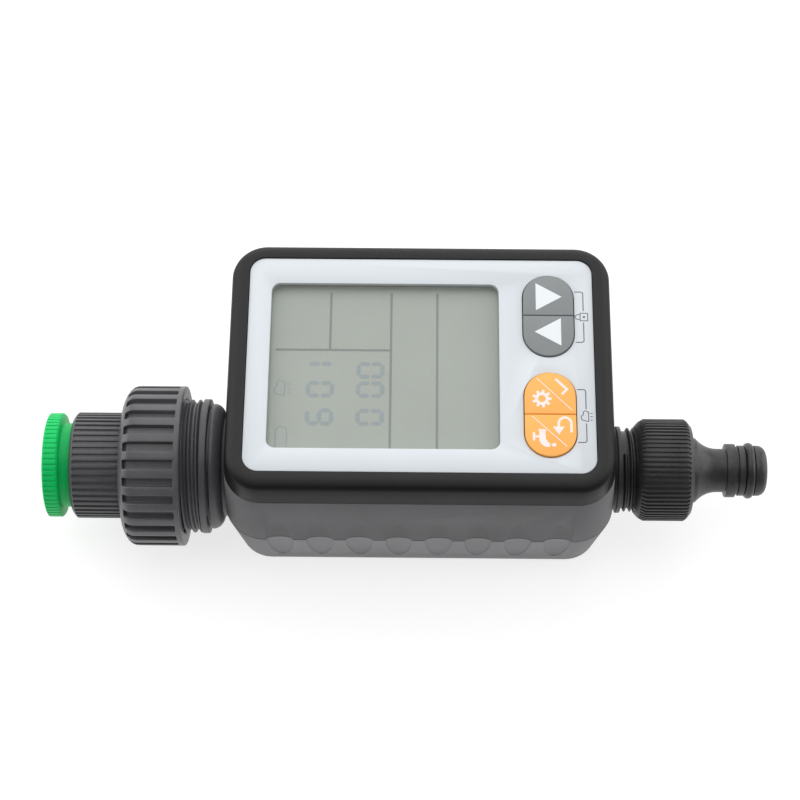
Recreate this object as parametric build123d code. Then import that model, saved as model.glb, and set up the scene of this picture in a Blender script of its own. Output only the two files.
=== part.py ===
from build123d import *
import math
import os

# Tap-mounted drip irrigation timer: a battery powered ball valve in a flat housing with a display.
# Millimetres. X runs along the water path from the inlet face to the hose spigot, Y points to the
# battery side of the housing, and Z points up out of the display. The origin is the centre of the
# inlet face, on the pipe axis.

# ---- pipe stations along X ----------------------------------------------------------------
BUSH_FLANGE_END = 4.9          # end of the knurled collar of the reducer bush
SLEEVE_START = 8.3             # free end of the ribbed tailpiece sleeve
NUT_START = 24.0               # shoulder end of the union nut
NUT_END = 43.35                # open end of the union nut
FLANGE_START = 48.9            # plain flange behind the inlet thread
COLLAR_START = 51.9            # quarter-round collar beside the housing
VALVE_X = 115.4                # centre of the ball
SHOULDER_START = 177.85        # shoulder ring of the outlet
CONNECTOR_START = 183.8        # open end of the hose connector
CONNECTOR_END = 201.3          # end of the connector's ribbed grip
SPIGOT_COLLAR_START = 212.3    # raised collar of the quick-connect spigot
SPIGOT_GROOVE_START = 218.1    # O-ring groove of the spigot
OVERALL_LENGTH = 225.1
SHOULDER_T = 1.3

# ---- pipe radii ---------------------------------------------------------------------------
BUSH_R = 16.3
BUSH_BORE_R = 9.3              # G1/2 female, crest radius
HOSE_THREAD_R = 13.2           # G3/4 male, crest radius
HOSE_THREAD_PITCH = 1.814
SLEEVE_R = 16.6
UNION_NUT_R = 25.1
UNION_THREAD_R = 20.95         # G1-1/4 male, crest radius
UNION_THREAD_PITCH = 2.309
COLLAR_R = 19.7
INLET_NECK_R = 15.6
INNER_PIPE_R = 12.6            # pipes inside the housing
SHOULDER_R = 13.6
CONNECTOR_R = 16.0
SPIGOT_NECK_R = 6.8
SPIGOT_COLLAR_R = 8.4
SPIGOT_LAND_R = 7.9
SPIGOT_O_RING_R = 8.8
SPIGOT_BORE_R = 4.2
TAIL_BORE_R = 9.0
THREAD_DEPTH = 1.1
THREAD_CLEARANCE = 0.08        # radial, screwed parts that turn
RUNNING_CLEARANCE = 0.05       # radial, shafts and pins
WASHER_THICKNESS = 2.0
UNION_COLLAR_T = 3.0           # collar of the tailpiece that the union nut pulls on
UNION_COLLAR_R = 19.4

# ---- ribs and slots -----------------------------------------------------------------------
UNION_SLOTS = 28
UNION_SLOT_DEPTH = 1.7
UNION_SLOT_SHARE = 0.46
FINE_RIBS = 48                 # round the tailpiece sleeve
FINE_RIB_DEPTH = 0.45
CONNECTOR_RIBS = 64
FINE_RIB_SHARE = 0.4           # groove width over pitch
BUSH_RIBS = 60
BUSH_RIB_DEPTH = 0.4
BUSH_RIB_SHARE = 0.3

# ---- housing ------------------------------------------------------------------------------
CASE_X = 116.4                 # centre of the housing in X
CASE_Y = 20.5                  # centre of the housing in Y
RIM_Z = 33.4                   # top of the bezel rim
CREASE_Z = 22.0                # bezel meets the mid shell
SEAM_Z = 0.0                   # mid shell meets the bottom cover
BOTTOM_Z = -27.0
CREASE_LENGTH = 118.7
CREASE_WIDTH = 83.8
CREASE_CORNER_R = 11.5
RIM_DRAFT = 0.6                # the bezel leans in this much on each side
RIM_ROUND_R = 3.6
SEAM_FLARE_END = 1.1           # the mid shell widens this much at each end
SEAM_FLARE_SIDE = 3.1          # and this much along each long side
BOTTOM_TAPER_END = 3.4
BOTTOM_TAPER_SIDE = 4.0
BOTTOM_ROUND_R = 3.0
WALL = 2.4
PIPE_HOLE_GAP = 0.3
DIMPLES = 8
DIMPLE_PITCH = 12.3
DIMPLE_WIDTH = 8.3
DIMPLE_DEPTH = 0.85
DIMPLE_TOP_Z = 11.6
DIMPLE_BOTTOM_Z = -16.0

# ---- face ---------------------------------------------------------------------------------
PANEL_LENGTH = 106.0
PANEL_WIDTH = 71.9
PANEL_CORNER_R = 4.8
PANEL_TOP_Z = 33.0
PANEL_T = 1.6
DECK_T = 2.0
WINDOW_LENGTH = 70.3
WINDOW_WIDTH = 55.8
WINDOW_CORNER_R = 2.8
WINDOW_OFFSET_X = -11.0        # from the centre of the panel
WINDOW_OFFSET_Y = -0.5
LENS_T = 1.2
LCD_T = 2.6
FIT_GAP = 0.15                 # parts laid into pockets

# ---- keys ---------------------------------------------------------------------------------
KEY_X = 39.3                   # key column, from the centre of the panel
UPPER_KEYS_Y = 16.5            # centre of the arrow keys, from the centre of the panel
LOWER_KEYS_Y = -16.9
KEY_GROUP_WIDTH = 15.5
KEY_GROUP_LENGTH = 27.7
KEY_GROOVE = 0.5
KEY_GAP = 0.3
KEY_TOP_Z = 33.6
KEY_LIP = 1.2
KEY_LIP_T = 0.8
KEY_TRAVEL = 0.8
KEY_CONTACT_R = 2.2
KEY_CONTACT_T = 0.5

# ---- electronics --------------------------------------------------------------------------
BOARD_TOP_Z = 24.8
BOARD_T = 1.6
BOARD_LENGTH = 106.0
BOARD_WIDTH = 74.0
MAT_T = 0.8

# ---- ball valve ---------------------------------------------------------------------------
BALL_R = 8.6
BALL_BORE_R = 5.0
SEAT_GAP = 0.05
CAVITY_R = 11.0
SEAT_HALF = 9.6                # outer face of each seat, from the ball centre
SEAT_NOSE = 4.6                # inner lip of each seat, from the ball centre
BARREL_R = 14.0
BARREL_HALF = 18.0
STEM_R = 3.0
STEM_TONGUE_T = 2.4
GLAND_R = 7.0
GLAND_TOP_Z = 15.4
VALVE_FLANGE_R = 18.5
VALVE_FLANGE_T = 4.0
VALVE_FLANGE_HALF = 14.6       # the flanges are cut flat above and below
VALVE_SCREW_PCD_R = 16.2

# ---- gear train ---------------------------------------------------------------------------
MODULE = 0.5
PINION_TEETH = 12
WHEEL_TEETH = 42
OUTPUT_TEETH = 48
GEAR_FACE = 1.3
TIER_STEP = 1.5
GEAR_BACKLASH = 0.12
TRAIN_ANGLE = 55.0             # direction of the gear train, from +X
AXLE_R = 0.75
BASE_T = 1.0
GEAR_AIR = 0.2
GEARBOX_WALL = 1.2
MOTOR_LENGTH = 18.0
MOTOR_R = 10.0
MOTOR_SHAFT_R = 0.75

# ---- power --------------------------------------------------------------------------------
BATTERY_R = 7.2
BATTERY_LENGTH = 50.5
BATTERY_GAP = 1.2
BATTERY_Y = 41.0               # centre of the pair
BATTERY_X = 112.0
TRAY_WALL = 1.4
TRAY_GAP = 0.3
DOOR_T = 2.0
DOOR_GAP = 0.35
HINGE_PIN_R = 0.5
TAB_SIZE = 8.0                 # square contact tabs
TAB_T = 0.4
SPRING_R = 3.2
CELL_POLE_R = 2.7
CELL_POLE_LENGTH = 1.2
DOOR_RIBS = 5
DOOR_RIB_PITCH = 1.6
DOOR_RIB_LENGTH = 16.0
DOOR_RIB_WIDTH = 0.8
DOOR_RIB_DEPTH = 0.5
DOOR_SEAL_T = 0.8
HINGE_INSET = 0.9              # hinge axis, from the door's edge and outer face

# screws and posts
FAR_POST_R = 4.0
NEAR_POST_R = 2.9
CASE_SCREW_R = 1.2
CASE_SCREW_HOLE_R = 1.7
CASE_SCREW_HEAD_R = 2.7
CASE_SCREW_HEAD_T = 2.0
CASE_RECESS_R = 2.9
CASE_RECESS_DEPTH = 4.0
CROSS_SLOT_LENGTH = 3.4
CROSS_SLOT_WIDTH = 0.8
BOARD_POST_R = 2.6
BOARD_SCREW_R = 0.9
BOARD_SCREW_HEAD_R = 2.2
BOARD_SCREW_HEAD_T = 1.2
BOARD_HOLE_R = 1.3
VALVE_SCREW_R = 1.3
VALVE_SCREW_HOLE_R = 1.35
VALVE_SCREW_HEAD_R = 2.4
VALVE_SCREW_HEAD_T = 2.0

# smaller details
O_RING_T = 2.9                 # of the spigot
O_RING_SIDE_GAP = 0.1
FILTER_TIP_R = 4.5
FILTER_WALL = 0.8
FILTER_SLOTS = 8
FILTER_SLOT_WIDTH = 1.8
SEAT_STEPS = 6
KEY_STEM_R = 3.0
KEY_EDGE_R = 0.5
DOME_HOLE_R = 5.0
GEAR_HUB_R = 2.2
CUT = 1.0                      # a cutter runs this far past the face that it cuts

os.makedirs("parts", exist_ok=True)


def save(name, solid):
    """Write one sub-part to its own file."""
    solid.label = name
    export_step(solid, f"parts/{name}.step")


# ---- shape helpers ------------------------------------------------------------------------
def turned(points):
    """Revolve a closed (x, radius) outline about the pipe axis."""
    outline = make_face(Polyline(*[(x, r) for x, r in points], close=True))
    return revolve(outline, Axis.X, 360)


def tube_x(outer, inner, start, end):
    """Plain tube on the pipe axis."""
    return turned([(start, inner), (end, inner), (end, outer), (start, outer)])


def rod_x(radius, start, end):
    """Plain rod on the pipe axis."""
    return Pos((start + end) / 2, 0, 0) * Rot(0, 90, 0) * Cylinder(radius, end - start)


def post(x, y, radius, low, high):
    """Upright rod."""
    return Pos(x, y, (low + high) / 2) * Cylinder(radius, high - low)


def block(x, y, low, high, length, width):
    """Upright box given by its centre, its two heights and its plan size."""
    return Pos(x, y, (low + high) / 2) * Box(length, width, high - low)


def thread_outline(start, end, crest, pitch):
    """Ridges of an external thread as (x, radius) points from start to end."""
    turns = int((end - start) / pitch)
    lead = ((end - start) - turns * pitch) / 2
    points = [(start, crest - THREAD_DEPTH)]
    for turn in range(turns):
        left = start + lead + turn * pitch
        points += [(left + 0.15 * pitch, crest - THREAD_DEPTH), (left + 0.42 * pitch, crest)]
        points += [(left + 0.58 * pitch, crest), (left + 0.85 * pitch, crest - THREAD_DEPTH)]
    return points + [(end, crest - THREAD_DEPTH)]


def ribbed_prism(radius, depth, count, share, start, end):
    """Prism whose section has count ribs; share is the width of a groove over its pitch."""
    points = []
    step = 360 / count
    for rib in range(count):
        for turn, r in ((0, radius), (1 - share, radius), (1 - 0.75 * share, radius - depth),
                        (1 - 0.25 * share, radius - depth)):
            angle = math.radians((rib + turn) * step)
            points.append((r * math.cos(angle), r * math.sin(angle)))
    section = Plane.YZ.offset(start) * make_face(Polyline(*points, close=True))
    return extrude(section, end - start)


def ribbed(blank, radius, depth, count, share, start, end):
    """Cut count grooves in the outside of a turned blank between start and end."""
    band = tube_x(radius + 2 * depth, radius - 2 * depth, start, end)
    return blank - (band - ribbed_prism(radius, depth, count, share, start, end))


def plate(length, width, corner, low, high, x=CASE_X, y=CASE_Y):
    """Upright plate with rounded corners."""
    return Pos(x, y, low) * extrude(RectangleRounded(length, width, corner), high - low)


def flared(low_size, low_z, high_size, high_z):
    """Loft between two rounded outlines; each size is (length, width, corner radius)."""
    low = Pos(CASE_X, CASE_Y, low_z) * RectangleRounded(*low_size)
    high = Pos(CASE_X, CASE_Y, high_z) * RectangleRounded(*high_size)
    return loft([low, high])


def inset(size, amount):
    """An outline moved inwards by amount."""
    return (size[0] - 2 * amount, size[1] - 2 * amount, max(size[2] - amount, 0.5))


def split_key(y_offset, side):
    """Plan outline of half a pill: side +1 is the far half, -1 the near half."""
    pill = RectangleRounded(KEY_GROUP_WIDTH, KEY_GROUP_LENGTH, KEY_GROUP_WIDTH / 2 - 0.01)
    reach = KEY_GROUP_LENGTH / 2
    half = Pos(0, side * (reach + KEY_GROOVE) / 2) * Rectangle(KEY_GROUP_WIDTH, reach)
    return Pos(CASE_X + KEY_X, CASE_Y + y_offset) * (pill & half)


CREASE = (CREASE_LENGTH, CREASE_WIDTH, CREASE_CORNER_R)
RIM = inset(CREASE, RIM_DRAFT)
SEAM = (CREASE_LENGTH + 2 * SEAM_FLARE_END, CREASE_WIDTH + 2 * SEAM_FLARE_SIDE,
        CREASE_CORNER_R + SEAM_FLARE_END)
BOTTOM = (SEAM[0] - 2 * BOTTOM_TAPER_END, SEAM[1] - 2 * BOTTOM_TAPER_SIDE, CREASE_CORNER_R - 1)
PANEL_BOTTOM_Z = PANEL_TOP_Z - PANEL_T
DECK_BOTTOM_Z = PANEL_BOTTOM_Z - DECK_T
WINDOW_X = CASE_X + WINDOW_OFFSET_X
WINDOW_Y = CASE_Y + WINDOW_OFFSET_Y
KEY_GROUPS = {"upper": UPPER_KEYS_Y, "lower": LOWER_KEYS_Y}
LENS_BOTTOM_Z = PANEL_BOTTOM_Z - LENS_T
CONTACT_LAND_Z = BOARD_TOP_Z + KEY_TRAVEL + 0.1


# ---- housing shells -----------------------------------------------------------------------
def dimple_cutters(height, lean):
    """Long ovals that press the dimples into both long sides, up or down from the seam.

    height is where they run out, and lean is how far the wall leans in per unit of height.
    """
    half = DIMPLE_WIDTH / 2
    radius = (half ** 2 + DIMPLE_DEPTH ** 2) / (2 * DIMPLE_DEPTH)
    reach = radius * abs(height) / half
    profile = Ellipse(radius, reach) & (Pos(radius / 2, 0) * Rectangle(radius, 2 * reach))
    oval = revolve(Plane.XZ * profile, Axis.Z, 360)
    cutters = []
    for side in (-1, 1):
        y = CASE_Y + side * (SEAM[1] / 2 + radius - DIMPLE_DEPTH)
        tilt = side * math.copysign(math.degrees(math.atan(lean)), height)
        for index in range(DIMPLES):
            x = CASE_X + (index - (DIMPLES - 1) / 2) * DIMPLE_PITCH
            cutters.append(Pos(x, y, SEAM_Z) * Rot(tilt, 0, 0) * oval)
    return cutters


def make_bezel():
    shell = flared(CREASE, CREASE_Z, RIM, RIM_Z)
    shell = fillet(shell.edges().group_by(Axis.Z)[-1], RIM_ROUND_R)
    cavity = flared(inset(CREASE, WALL), CREASE_Z, inset(RIM, WALL), DECK_BOTTOM_Z)
    shell -= cavity
    shell -= plate(PANEL_LENGTH + 2 * FIT_GAP, PANEL_WIDTH + 2 * FIT_GAP, PANEL_CORNER_R + FIT_GAP,
                   PANEL_BOTTOM_Z, RIM_Z + 1)
    shell -= plate(WINDOW_LENGTH + 1.6, WINDOW_WIDTH + 1.6, WINDOW_CORNER_R + 0.8,
                   DECK_BOTTOM_Z - 1, RIM_Z, WINDOW_X, WINDOW_Y)
    for y in KEY_GROUPS.values():
        shell -= plate(KEY_GROUP_WIDTH + 2 * KEY_GAP, KEY_GROUP_LENGTH + 2 * KEY_GAP,
                       KEY_GROUP_WIDTH / 2 + KEY_GAP - 0.01, DECK_BOTTOM_Z - 1, RIM_Z,
                       CASE_X + KEY_X, CASE_Y + y)
    for x, y in BOARD_POSTS:
        shell += post(x, y, BOARD_POST_R, BOARD_TOP_Z, DECK_BOTTOM_Z + 0.2)
        shell -= post(x, y, BOARD_SCREW_R, BOARD_TOP_Z - CUT, BOARD_TOP_Z + 3.4)
    save("front_bezel", shell)


def make_mid_shell():
    shell = flared(SEAM, SEAM_Z, CREASE, CREASE_Z)
    shell -= flared(inset(SEAM, WALL), SEAM_Z, inset(CREASE, WALL), CREASE_Z)
    shell -= rod_x(INLET_NECK_R + PIPE_HOLE_GAP, CASE_X - SEAM[0], CASE_X)
    shell -= rod_x(INNER_PIPE_R + PIPE_HOLE_GAP, CASE_X, CASE_X + SEAM[0])
    for x, y, radius in CASE_SCREWS:
        shell += post(x, y, radius, SEAM_Z, CREASE_Z - 1)
        shell -= post(x, y, CASE_SCREW_R, SEAM_Z - CUT, SEAM_Z + 9)
    for cutter in dimple_cutters(DIMPLE_TOP_Z, SEAM_FLARE_SIDE / (CREASE_Z - SEAM_Z)):
        shell -= cutter
    save("mid_shell", shell)


def make_bottom_cover():
    shell = flared(BOTTOM, BOTTOM_Z, SEAM, SEAM_Z)
    shell = fillet(shell.edges().group_by(Axis.Z)[0], BOTTOM_ROUND_R)
    shell -= flared(inset(BOTTOM, WALL), BOTTOM_Z + WALL, inset(SEAM, WALL), SEAM_Z)
    shell -= rod_x(INLET_NECK_R + PIPE_HOLE_GAP, CASE_X - SEAM[0], CASE_X)
    shell -= rod_x(INNER_PIPE_R + PIPE_HOLE_GAP, CASE_X, CASE_X + SEAM[0])
    for x, y, radius in CASE_SCREWS:
        shell += post(x, y, radius, BOTTOM_Z + 1, SEAM_Z)
        shell += post(x, y, CASE_RECESS_R + 1, BOTTOM_Z + 1, SCREW_SEAT_Z + 2)
        shell -= post(x, y, CASE_SCREW_HOLE_R, BOTTOM_Z - CUT, SEAM_Z + CUT)
        shell -= post(x, y, CASE_RECESS_R, BOTTOM_Z - CUT, SCREW_SEAT_Z)
    shell -= block(BATTERY_X, BATTERY_Y, BOTTOM_Z - 1, BOTTOM_Z + WALL + 1, DOOR_LENGTH, DOOR_WIDTH)
    shell -= hinge_rod(HINGE_PIN_R, HINGE_PIN_LENGTH)
    for x in (VALVE_X - BARREL_HALF + 7, VALVE_X + BARREL_HALF - 7):
        saddle = block(x, 0, BOTTOM_Z + 1, -BARREL_R / 2, 3, 2 * BARREL_R)
        shell += saddle - rod_x(BARREL_R, x - 4, x + 4)
    for cutter in dimple_cutters(DIMPLE_BOTTOM_Z, BOTTOM_TAPER_SIDE / (SEAM_Z - BOTTOM_Z)):
        shell -= cutter
    save("bottom_cover", shell)


def make_case_seal():
    """Flat gasket ring that lies inside the seam."""
    ring = plate(SEAM[0] - 2 * WALL - 1, SEAM[1] - 2 * WALL - 1, CREASE_CORNER_R - 1.6, -0.7, 0.7)
    ring -= plate(SEAM[0] - 2 * WALL - 4, SEAM[1] - 2 * WALL - 4, CREASE_CORNER_R - 3.1, -1, 1)
    ring -= rod_x(INLET_NECK_R + 1.5, CASE_X - SEAM[0], CASE_X)
    ring -= rod_x(SHOULDER_R + 1.5, CASE_X, CASE_X + SEAM[0])
    for x, y, radius in CASE_SCREWS:
        ring -= post(x, y, radius + 0.2, -1, 1)
    save("case_seal", Compound(children=list(ring.solids())))


def make_case_screws():
    screws = []
    for x, y, _ in CASE_SCREWS:
        head = post(x, y, CASE_SCREW_HEAD_R, SCREW_SEAT_Z - CASE_SCREW_HEAD_T, SCREW_SEAT_Z)
        slot_low = SCREW_SEAT_Z - CASE_SCREW_HEAD_T - CUT
        slot_high = SCREW_SEAT_Z - CASE_SCREW_HEAD_T / 2
        head -= block(x, y, slot_low, slot_high, CROSS_SLOT_LENGTH, CROSS_SLOT_WIDTH)
        head -= block(x, y, slot_low, slot_high, CROSS_SLOT_WIDTH, CROSS_SLOT_LENGTH)
        screws.append(head + post(x, y, CASE_SCREW_R, SCREW_SEAT_Z, SEAM_Z + 8))
    save("case_screws", Compound(children=screws))


# ---- face and keys ------------------------------------------------------------------------
def make_panel():
    panel = plate(PANEL_LENGTH, PANEL_WIDTH, PANEL_CORNER_R, PANEL_BOTTOM_Z, PANEL_TOP_Z)
    panel -= plate(WINDOW_LENGTH, WINDOW_WIDTH, WINDOW_CORNER_R, PANEL_BOTTOM_Z - 1,
                   PANEL_TOP_Z + 1, WINDOW_X, WINDOW_Y)
    for y in KEY_GROUPS.values():
        panel -= plate(KEY_GROUP_WIDTH + 2 * KEY_GAP, KEY_GROUP_LENGTH + 2 * KEY_GAP,
                       KEY_GROUP_WIDTH / 2 + KEY_GAP - 0.01, PANEL_BOTTOM_Z - 1, PANEL_TOP_Z + 1,
                       CASE_X + KEY_X, CASE_Y + y)
    save("face_panel", panel)


def make_display():
    lens = plate(WINDOW_LENGTH + 1.4, WINDOW_WIDTH + 1.4, WINDOW_CORNER_R + 0.7, LENS_BOTTOM_Z,
                 PANEL_BOTTOM_Z, WINDOW_X, WINDOW_Y)
    save("window_lens", lens)
    lcd_top = LENS_BOTTOM_Z - 0.2
    glass = plate(WINDOW_LENGTH, WINDOW_WIDTH, WINDOW_CORNER_R, lcd_top - LCD_T, lcd_top,
                  WINDOW_X, WINDOW_Y)
    save("lcd_glass", glass)
    frame = plate(WINDOW_LENGTH + 1.3, WINDOW_WIDTH + 1.3, WINDOW_CORNER_R + 0.65, BOARD_TOP_Z,
                  lcd_top, WINDOW_X, WINDOW_Y)
    frame -= plate(WINDOW_LENGTH + 0.1, WINDOW_WIDTH + 0.1, WINDOW_CORNER_R + 0.05,
                   lcd_top - LCD_T, RIM_Z, WINDOW_X, WINDOW_Y)
    frame -= block(WINDOW_X, WINDOW_Y, BOARD_TOP_Z - 1, RIM_Z, WINDOW_LENGTH - 6, WINDOW_WIDTH - 6)
    save("lcd_frame", frame)


def make_keys():
    names = {"up_key": (UPPER_KEYS_Y, 1), "down_key": (UPPER_KEYS_Y, -1),
             "settings_key": (LOWER_KEYS_Y, 1), "back_key": (LOWER_KEYS_Y, -1)}
    for name, (y_offset, side) in names.items():
        outline = split_key(y_offset, side)
        cap = Pos(0, 0, LIP_TOP_Z) * extrude(outline, KEY_TOP_Z - LIP_TOP_Z)
        cap = fillet(cap.edges().group_by(Axis.Z)[-1], KEY_EDGE_R)
        x = CASE_X + KEY_X
        y = CASE_Y + y_offset + side * KEY_GROUP_LENGTH / 4
        lip = Pos(x, y, LIP_TOP_Z - KEY_LIP_T) * extrude(
            RectangleRounded(KEY_GROUP_WIDTH + 2 * KEY_LIP, KEY_GROUP_LENGTH / 2 - KEY_GROOVE, 2),
            KEY_LIP_T)
        stem = post(x, y, KEY_STEM_R, CONTACT_LAND_Z + KEY_CONTACT_T, LIP_TOP_Z)
        save(name, cap + lip + stem)
        contact = post(x, y, KEY_CONTACT_R, CONTACT_LAND_Z, CONTACT_LAND_Z + KEY_CONTACT_T)
        save(f"{name}_contact", contact)


def make_key_mat():
    """Rubber web that carries the four key domes."""
    x = CASE_X + KEY_X
    reach = (UPPER_KEYS_Y - LOWER_KEYS_Y) + KEY_GROUP_LENGTH + 1
    y = CASE_Y + (UPPER_KEYS_Y + LOWER_KEYS_Y) / 2
    mat = block(x, y, BOARD_TOP_Z, BOARD_TOP_Z + MAT_T, KEY_GROUP_WIDTH + 3, reach)
    for y_offset in KEY_GROUPS.values():
        for side in (-1, 1):
            mat -= post(x, CASE_Y + y_offset + side * KEY_GROUP_LENGTH / 4, DOME_HOLE_R, 0, RIM_Z)
    save("key_mat", mat)


# ---- electronics --------------------------------------------------------------------------
def make_board():
    board = block(CASE_X, CASE_Y, BOARD_TOP_Z - BOARD_T, BOARD_TOP_Z, BOARD_LENGTH, BOARD_WIDTH)
    for x, y in BOARD_POSTS:
        board -= post(x, y, BOARD_HOLE_R, BOARD_TOP_Z - BOARD_T - CUT, BOARD_TOP_Z + CUT)
    save("circuit_board", board)
    screws = []
    for x, y in BOARD_POSTS:
        under = BOARD_TOP_Z - BOARD_T
        head = post(x, y, BOARD_SCREW_HEAD_R, under - BOARD_SCREW_HEAD_T, under)
        screws.append(head + post(x, y, BOARD_SCREW_R, under, BOARD_TOP_Z + 3))
    save("board_screws", Compound(children=screws))


# ---- inlet --------------------------------------------------------------------------------
UNION_SEAT_X = NUT_END - 4 * UNION_THREAD_PITCH     # end of the inlet thread inside the nut
UNION_WASHER_START = UNION_SEAT_X - WASHER_THICKNESS
UNION_COLLAR_START = UNION_WASHER_START - UNION_COLLAR_T
BUSH_THREAD_END = SLEEVE_START + 7 * HOSE_THREAD_PITCH
BUSH_WASHER_END = BUSH_THREAD_END + WASHER_THICKNESS


def make_reducer_bush():
    outline = [(0, BUSH_BORE_R), (0, BUSH_R - 0.6), (0.6, BUSH_R), (BUSH_FLANGE_END - 0.6, BUSH_R),
               (BUSH_FLANGE_END, BUSH_R - 0.6)]
    outline += thread_outline(BUSH_FLANGE_END, BUSH_THREAD_END, HOSE_THREAD_R, HOSE_THREAD_PITCH)
    outline += [(BUSH_THREAD_END, BUSH_BORE_R)]
    bush = ribbed(turned(outline), BUSH_R, BUSH_RIB_DEPTH, BUSH_RIBS, BUSH_RIB_SHARE, 0.9,
                  BUSH_FLANGE_END - 0.9)
    save("reducer_bush", bush)
    save("bush_washer", tube_x(HOSE_THREAD_R - 1.4, TAIL_BORE_R, BUSH_THREAD_END, BUSH_WASHER_END))


def make_tailpiece():
    bore = HOSE_THREAD_R + THREAD_CLEARANCE
    outline = [(SLEEVE_START, bore), (SLEEVE_START, SLEEVE_R - 1.0), (SLEEVE_START + 1.0, SLEEVE_R),
               (NUT_START + 1, SLEEVE_R), (NUT_START + 1, TAIL_NECK_R),
               (UNION_COLLAR_START, TAIL_NECK_R),
               (UNION_COLLAR_START, UNION_COLLAR_R), (UNION_WASHER_START, UNION_COLLAR_R),
               (UNION_WASHER_START, TAIL_BORE_R + 1.5), (BUSH_WASHER_END + 1, TAIL_BORE_R + 1.5),
               (BUSH_WASHER_END + 1, TAIL_BORE_R), (BUSH_WASHER_END, TAIL_BORE_R), (BUSH_WASHER_END, bore)]
    blank = turned(outline)
    save("tailpiece", ribbed(blank, SLEEVE_R, FINE_RIB_DEPTH, FINE_RIBS, FINE_RIB_SHARE,
                             SLEEVE_START + 1.2, NUT_START - 0.2))


def make_union_nut():
    bore = UNION_THREAD_R + THREAD_CLEARANCE
    neck = SLEEVE_R + 0.35
    lip_r = TAIL_NECK_R + RUNNING_CLEARANCE
    run = UNION_NUT_R - SLEEVE_R - 1.2
    shoulder = [(NUT_START + 0.3, neck + 0.6)]
    for step in range(1, 6):
        angle = math.radians(90 * step / 5)
        shoulder.append((NUT_START + 4.6 - 4.0 * math.cos(angle),
                         SLEEVE_R + 1.2 + run * math.sin(angle)))
    outline = [(NUT_START, neck), (NUT_START, neck + 0.5)] + shoulder
    outline += [(NUT_END - 0.4, UNION_NUT_R), (NUT_END, UNION_NUT_R - 0.4), (NUT_END, bore),
                (UNION_COLLAR_START - 0.2, bore), (UNION_COLLAR_START - 0.2, lip_r),
                (NUT_START + 1.3, lip_r), (NUT_START + 1.3, neck)]
    nut = ribbed(turned(outline), UNION_NUT_R, UNION_SLOT_DEPTH, UNION_SLOTS, UNION_SLOT_SHARE,
                 NUT_START + 2.2, NUT_END - 1.75)
    save("union_nut", nut)
    save("union_washer", tube_x(UNION_COLLAR_R - 0.4, FILTER_R + 0.9, UNION_WASHER_START,
                                UNION_SEAT_X))


def make_filter():
    """Cone strainer: a rim clamped in the union and a ribbed basket reaching upstream."""
    rim = tube_x(FILTER_R + 0.7, FILTER_R - 1, UNION_WASHER_START, UNION_SEAT_X - 0.6)
    start = UNION_WASHER_START - FILTER_LENGTH
    cone = turned([(start, FILTER_TIP_R - FILTER_WALL), (start, FILTER_TIP_R),
                   (UNION_WASHER_START, FILTER_R), (UNION_WASHER_START, FILTER_R - FILTER_WALL)])
    tip = rod_x(FILTER_TIP_R, start - 1, start)
    basket = rim + cone + tip
    middle = start + FILTER_LENGTH / 2
    cutter = Box(FILTER_LENGTH - 4, FILTER_SLOT_WIDTH, 2 * FILTER_R)
    for index in range(FILTER_SLOTS):
        basket -= Rot(index * 360 / FILTER_SLOTS, 0, 0) * (Pos(middle, 0, FILTER_R) * cutter)
    save("inlet_filter", basket)


def flange_flats(solid):
    """Cut the bolted valve flanges flat above and below."""
    depth = VALVE_FLANGE_R
    for side in (-1, 1):
        cutter = Box(2 * VALVE_FLANGE_T + 0.2, 3 * depth, depth)
        solid -= Pos(FITTING_FLANGE_X, 0, side * (VALVE_FLANGE_HALF + depth / 2)) * cutter
    return solid


def make_inlet_fitting():
    outline = [(UNION_SEAT_X, FILTER_R + 0.2)]
    outline += thread_outline(UNION_SEAT_X, FLANGE_START, UNION_THREAD_R, UNION_THREAD_PITCH)
    outline += [(FLANGE_START, UNION_THREAD_R + 0.2), (FLANGE_START + 2, UNION_THREAD_R + 0.2),
                (FLANGE_START + 2, COLLAR_R - 1.5), (COLLAR_START, COLLAR_R - 1.5),
                (COLLAR_START, COLLAR_R)]
    drop = COLLAR_R - INLET_NECK_R
    for step in range(1, 5):
        angle = math.radians(90 * step / 4)
        x = COLLAR_START + 3.6 * math.sin(angle)
        outline.append((x, COLLAR_R - drop * (1 - math.cos(angle))))
    neck_end = CASE_X - SEAM[0] / 2 + WALL + 2
    flange_start = FITTING_FLANGE_X - VALVE_FLANGE_T
    outline += [(neck_end, INLET_NECK_R), (neck_end, INNER_PIPE_R),
                (flange_start, INNER_PIPE_R), (flange_start, VALVE_FLANGE_R),
                (FITTING_FLANGE_X, VALVE_FLANGE_R), (FITTING_FLANGE_X, CAVITY_R - 0.02),
                (VALVE_X - SEAT_HALF, CAVITY_R - 0.02), (VALVE_X - SEAT_HALF, BALL_BORE_R),
                (VALVE_X - SEAT_HALF - 8, FILTER_R + 0.2)]
    fitting = turned(outline)
    for y, z in VALVE_SCREWS:
        hole = Rot(0, 90, 0) * Cylinder(VALVE_SCREW_HOLE_R, VALVE_SCREW_REACH)
        fitting -= Pos(FITTING_FLANGE_X, y, z) * hole
    save("inlet_fitting", flange_flats(fitting))


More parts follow.
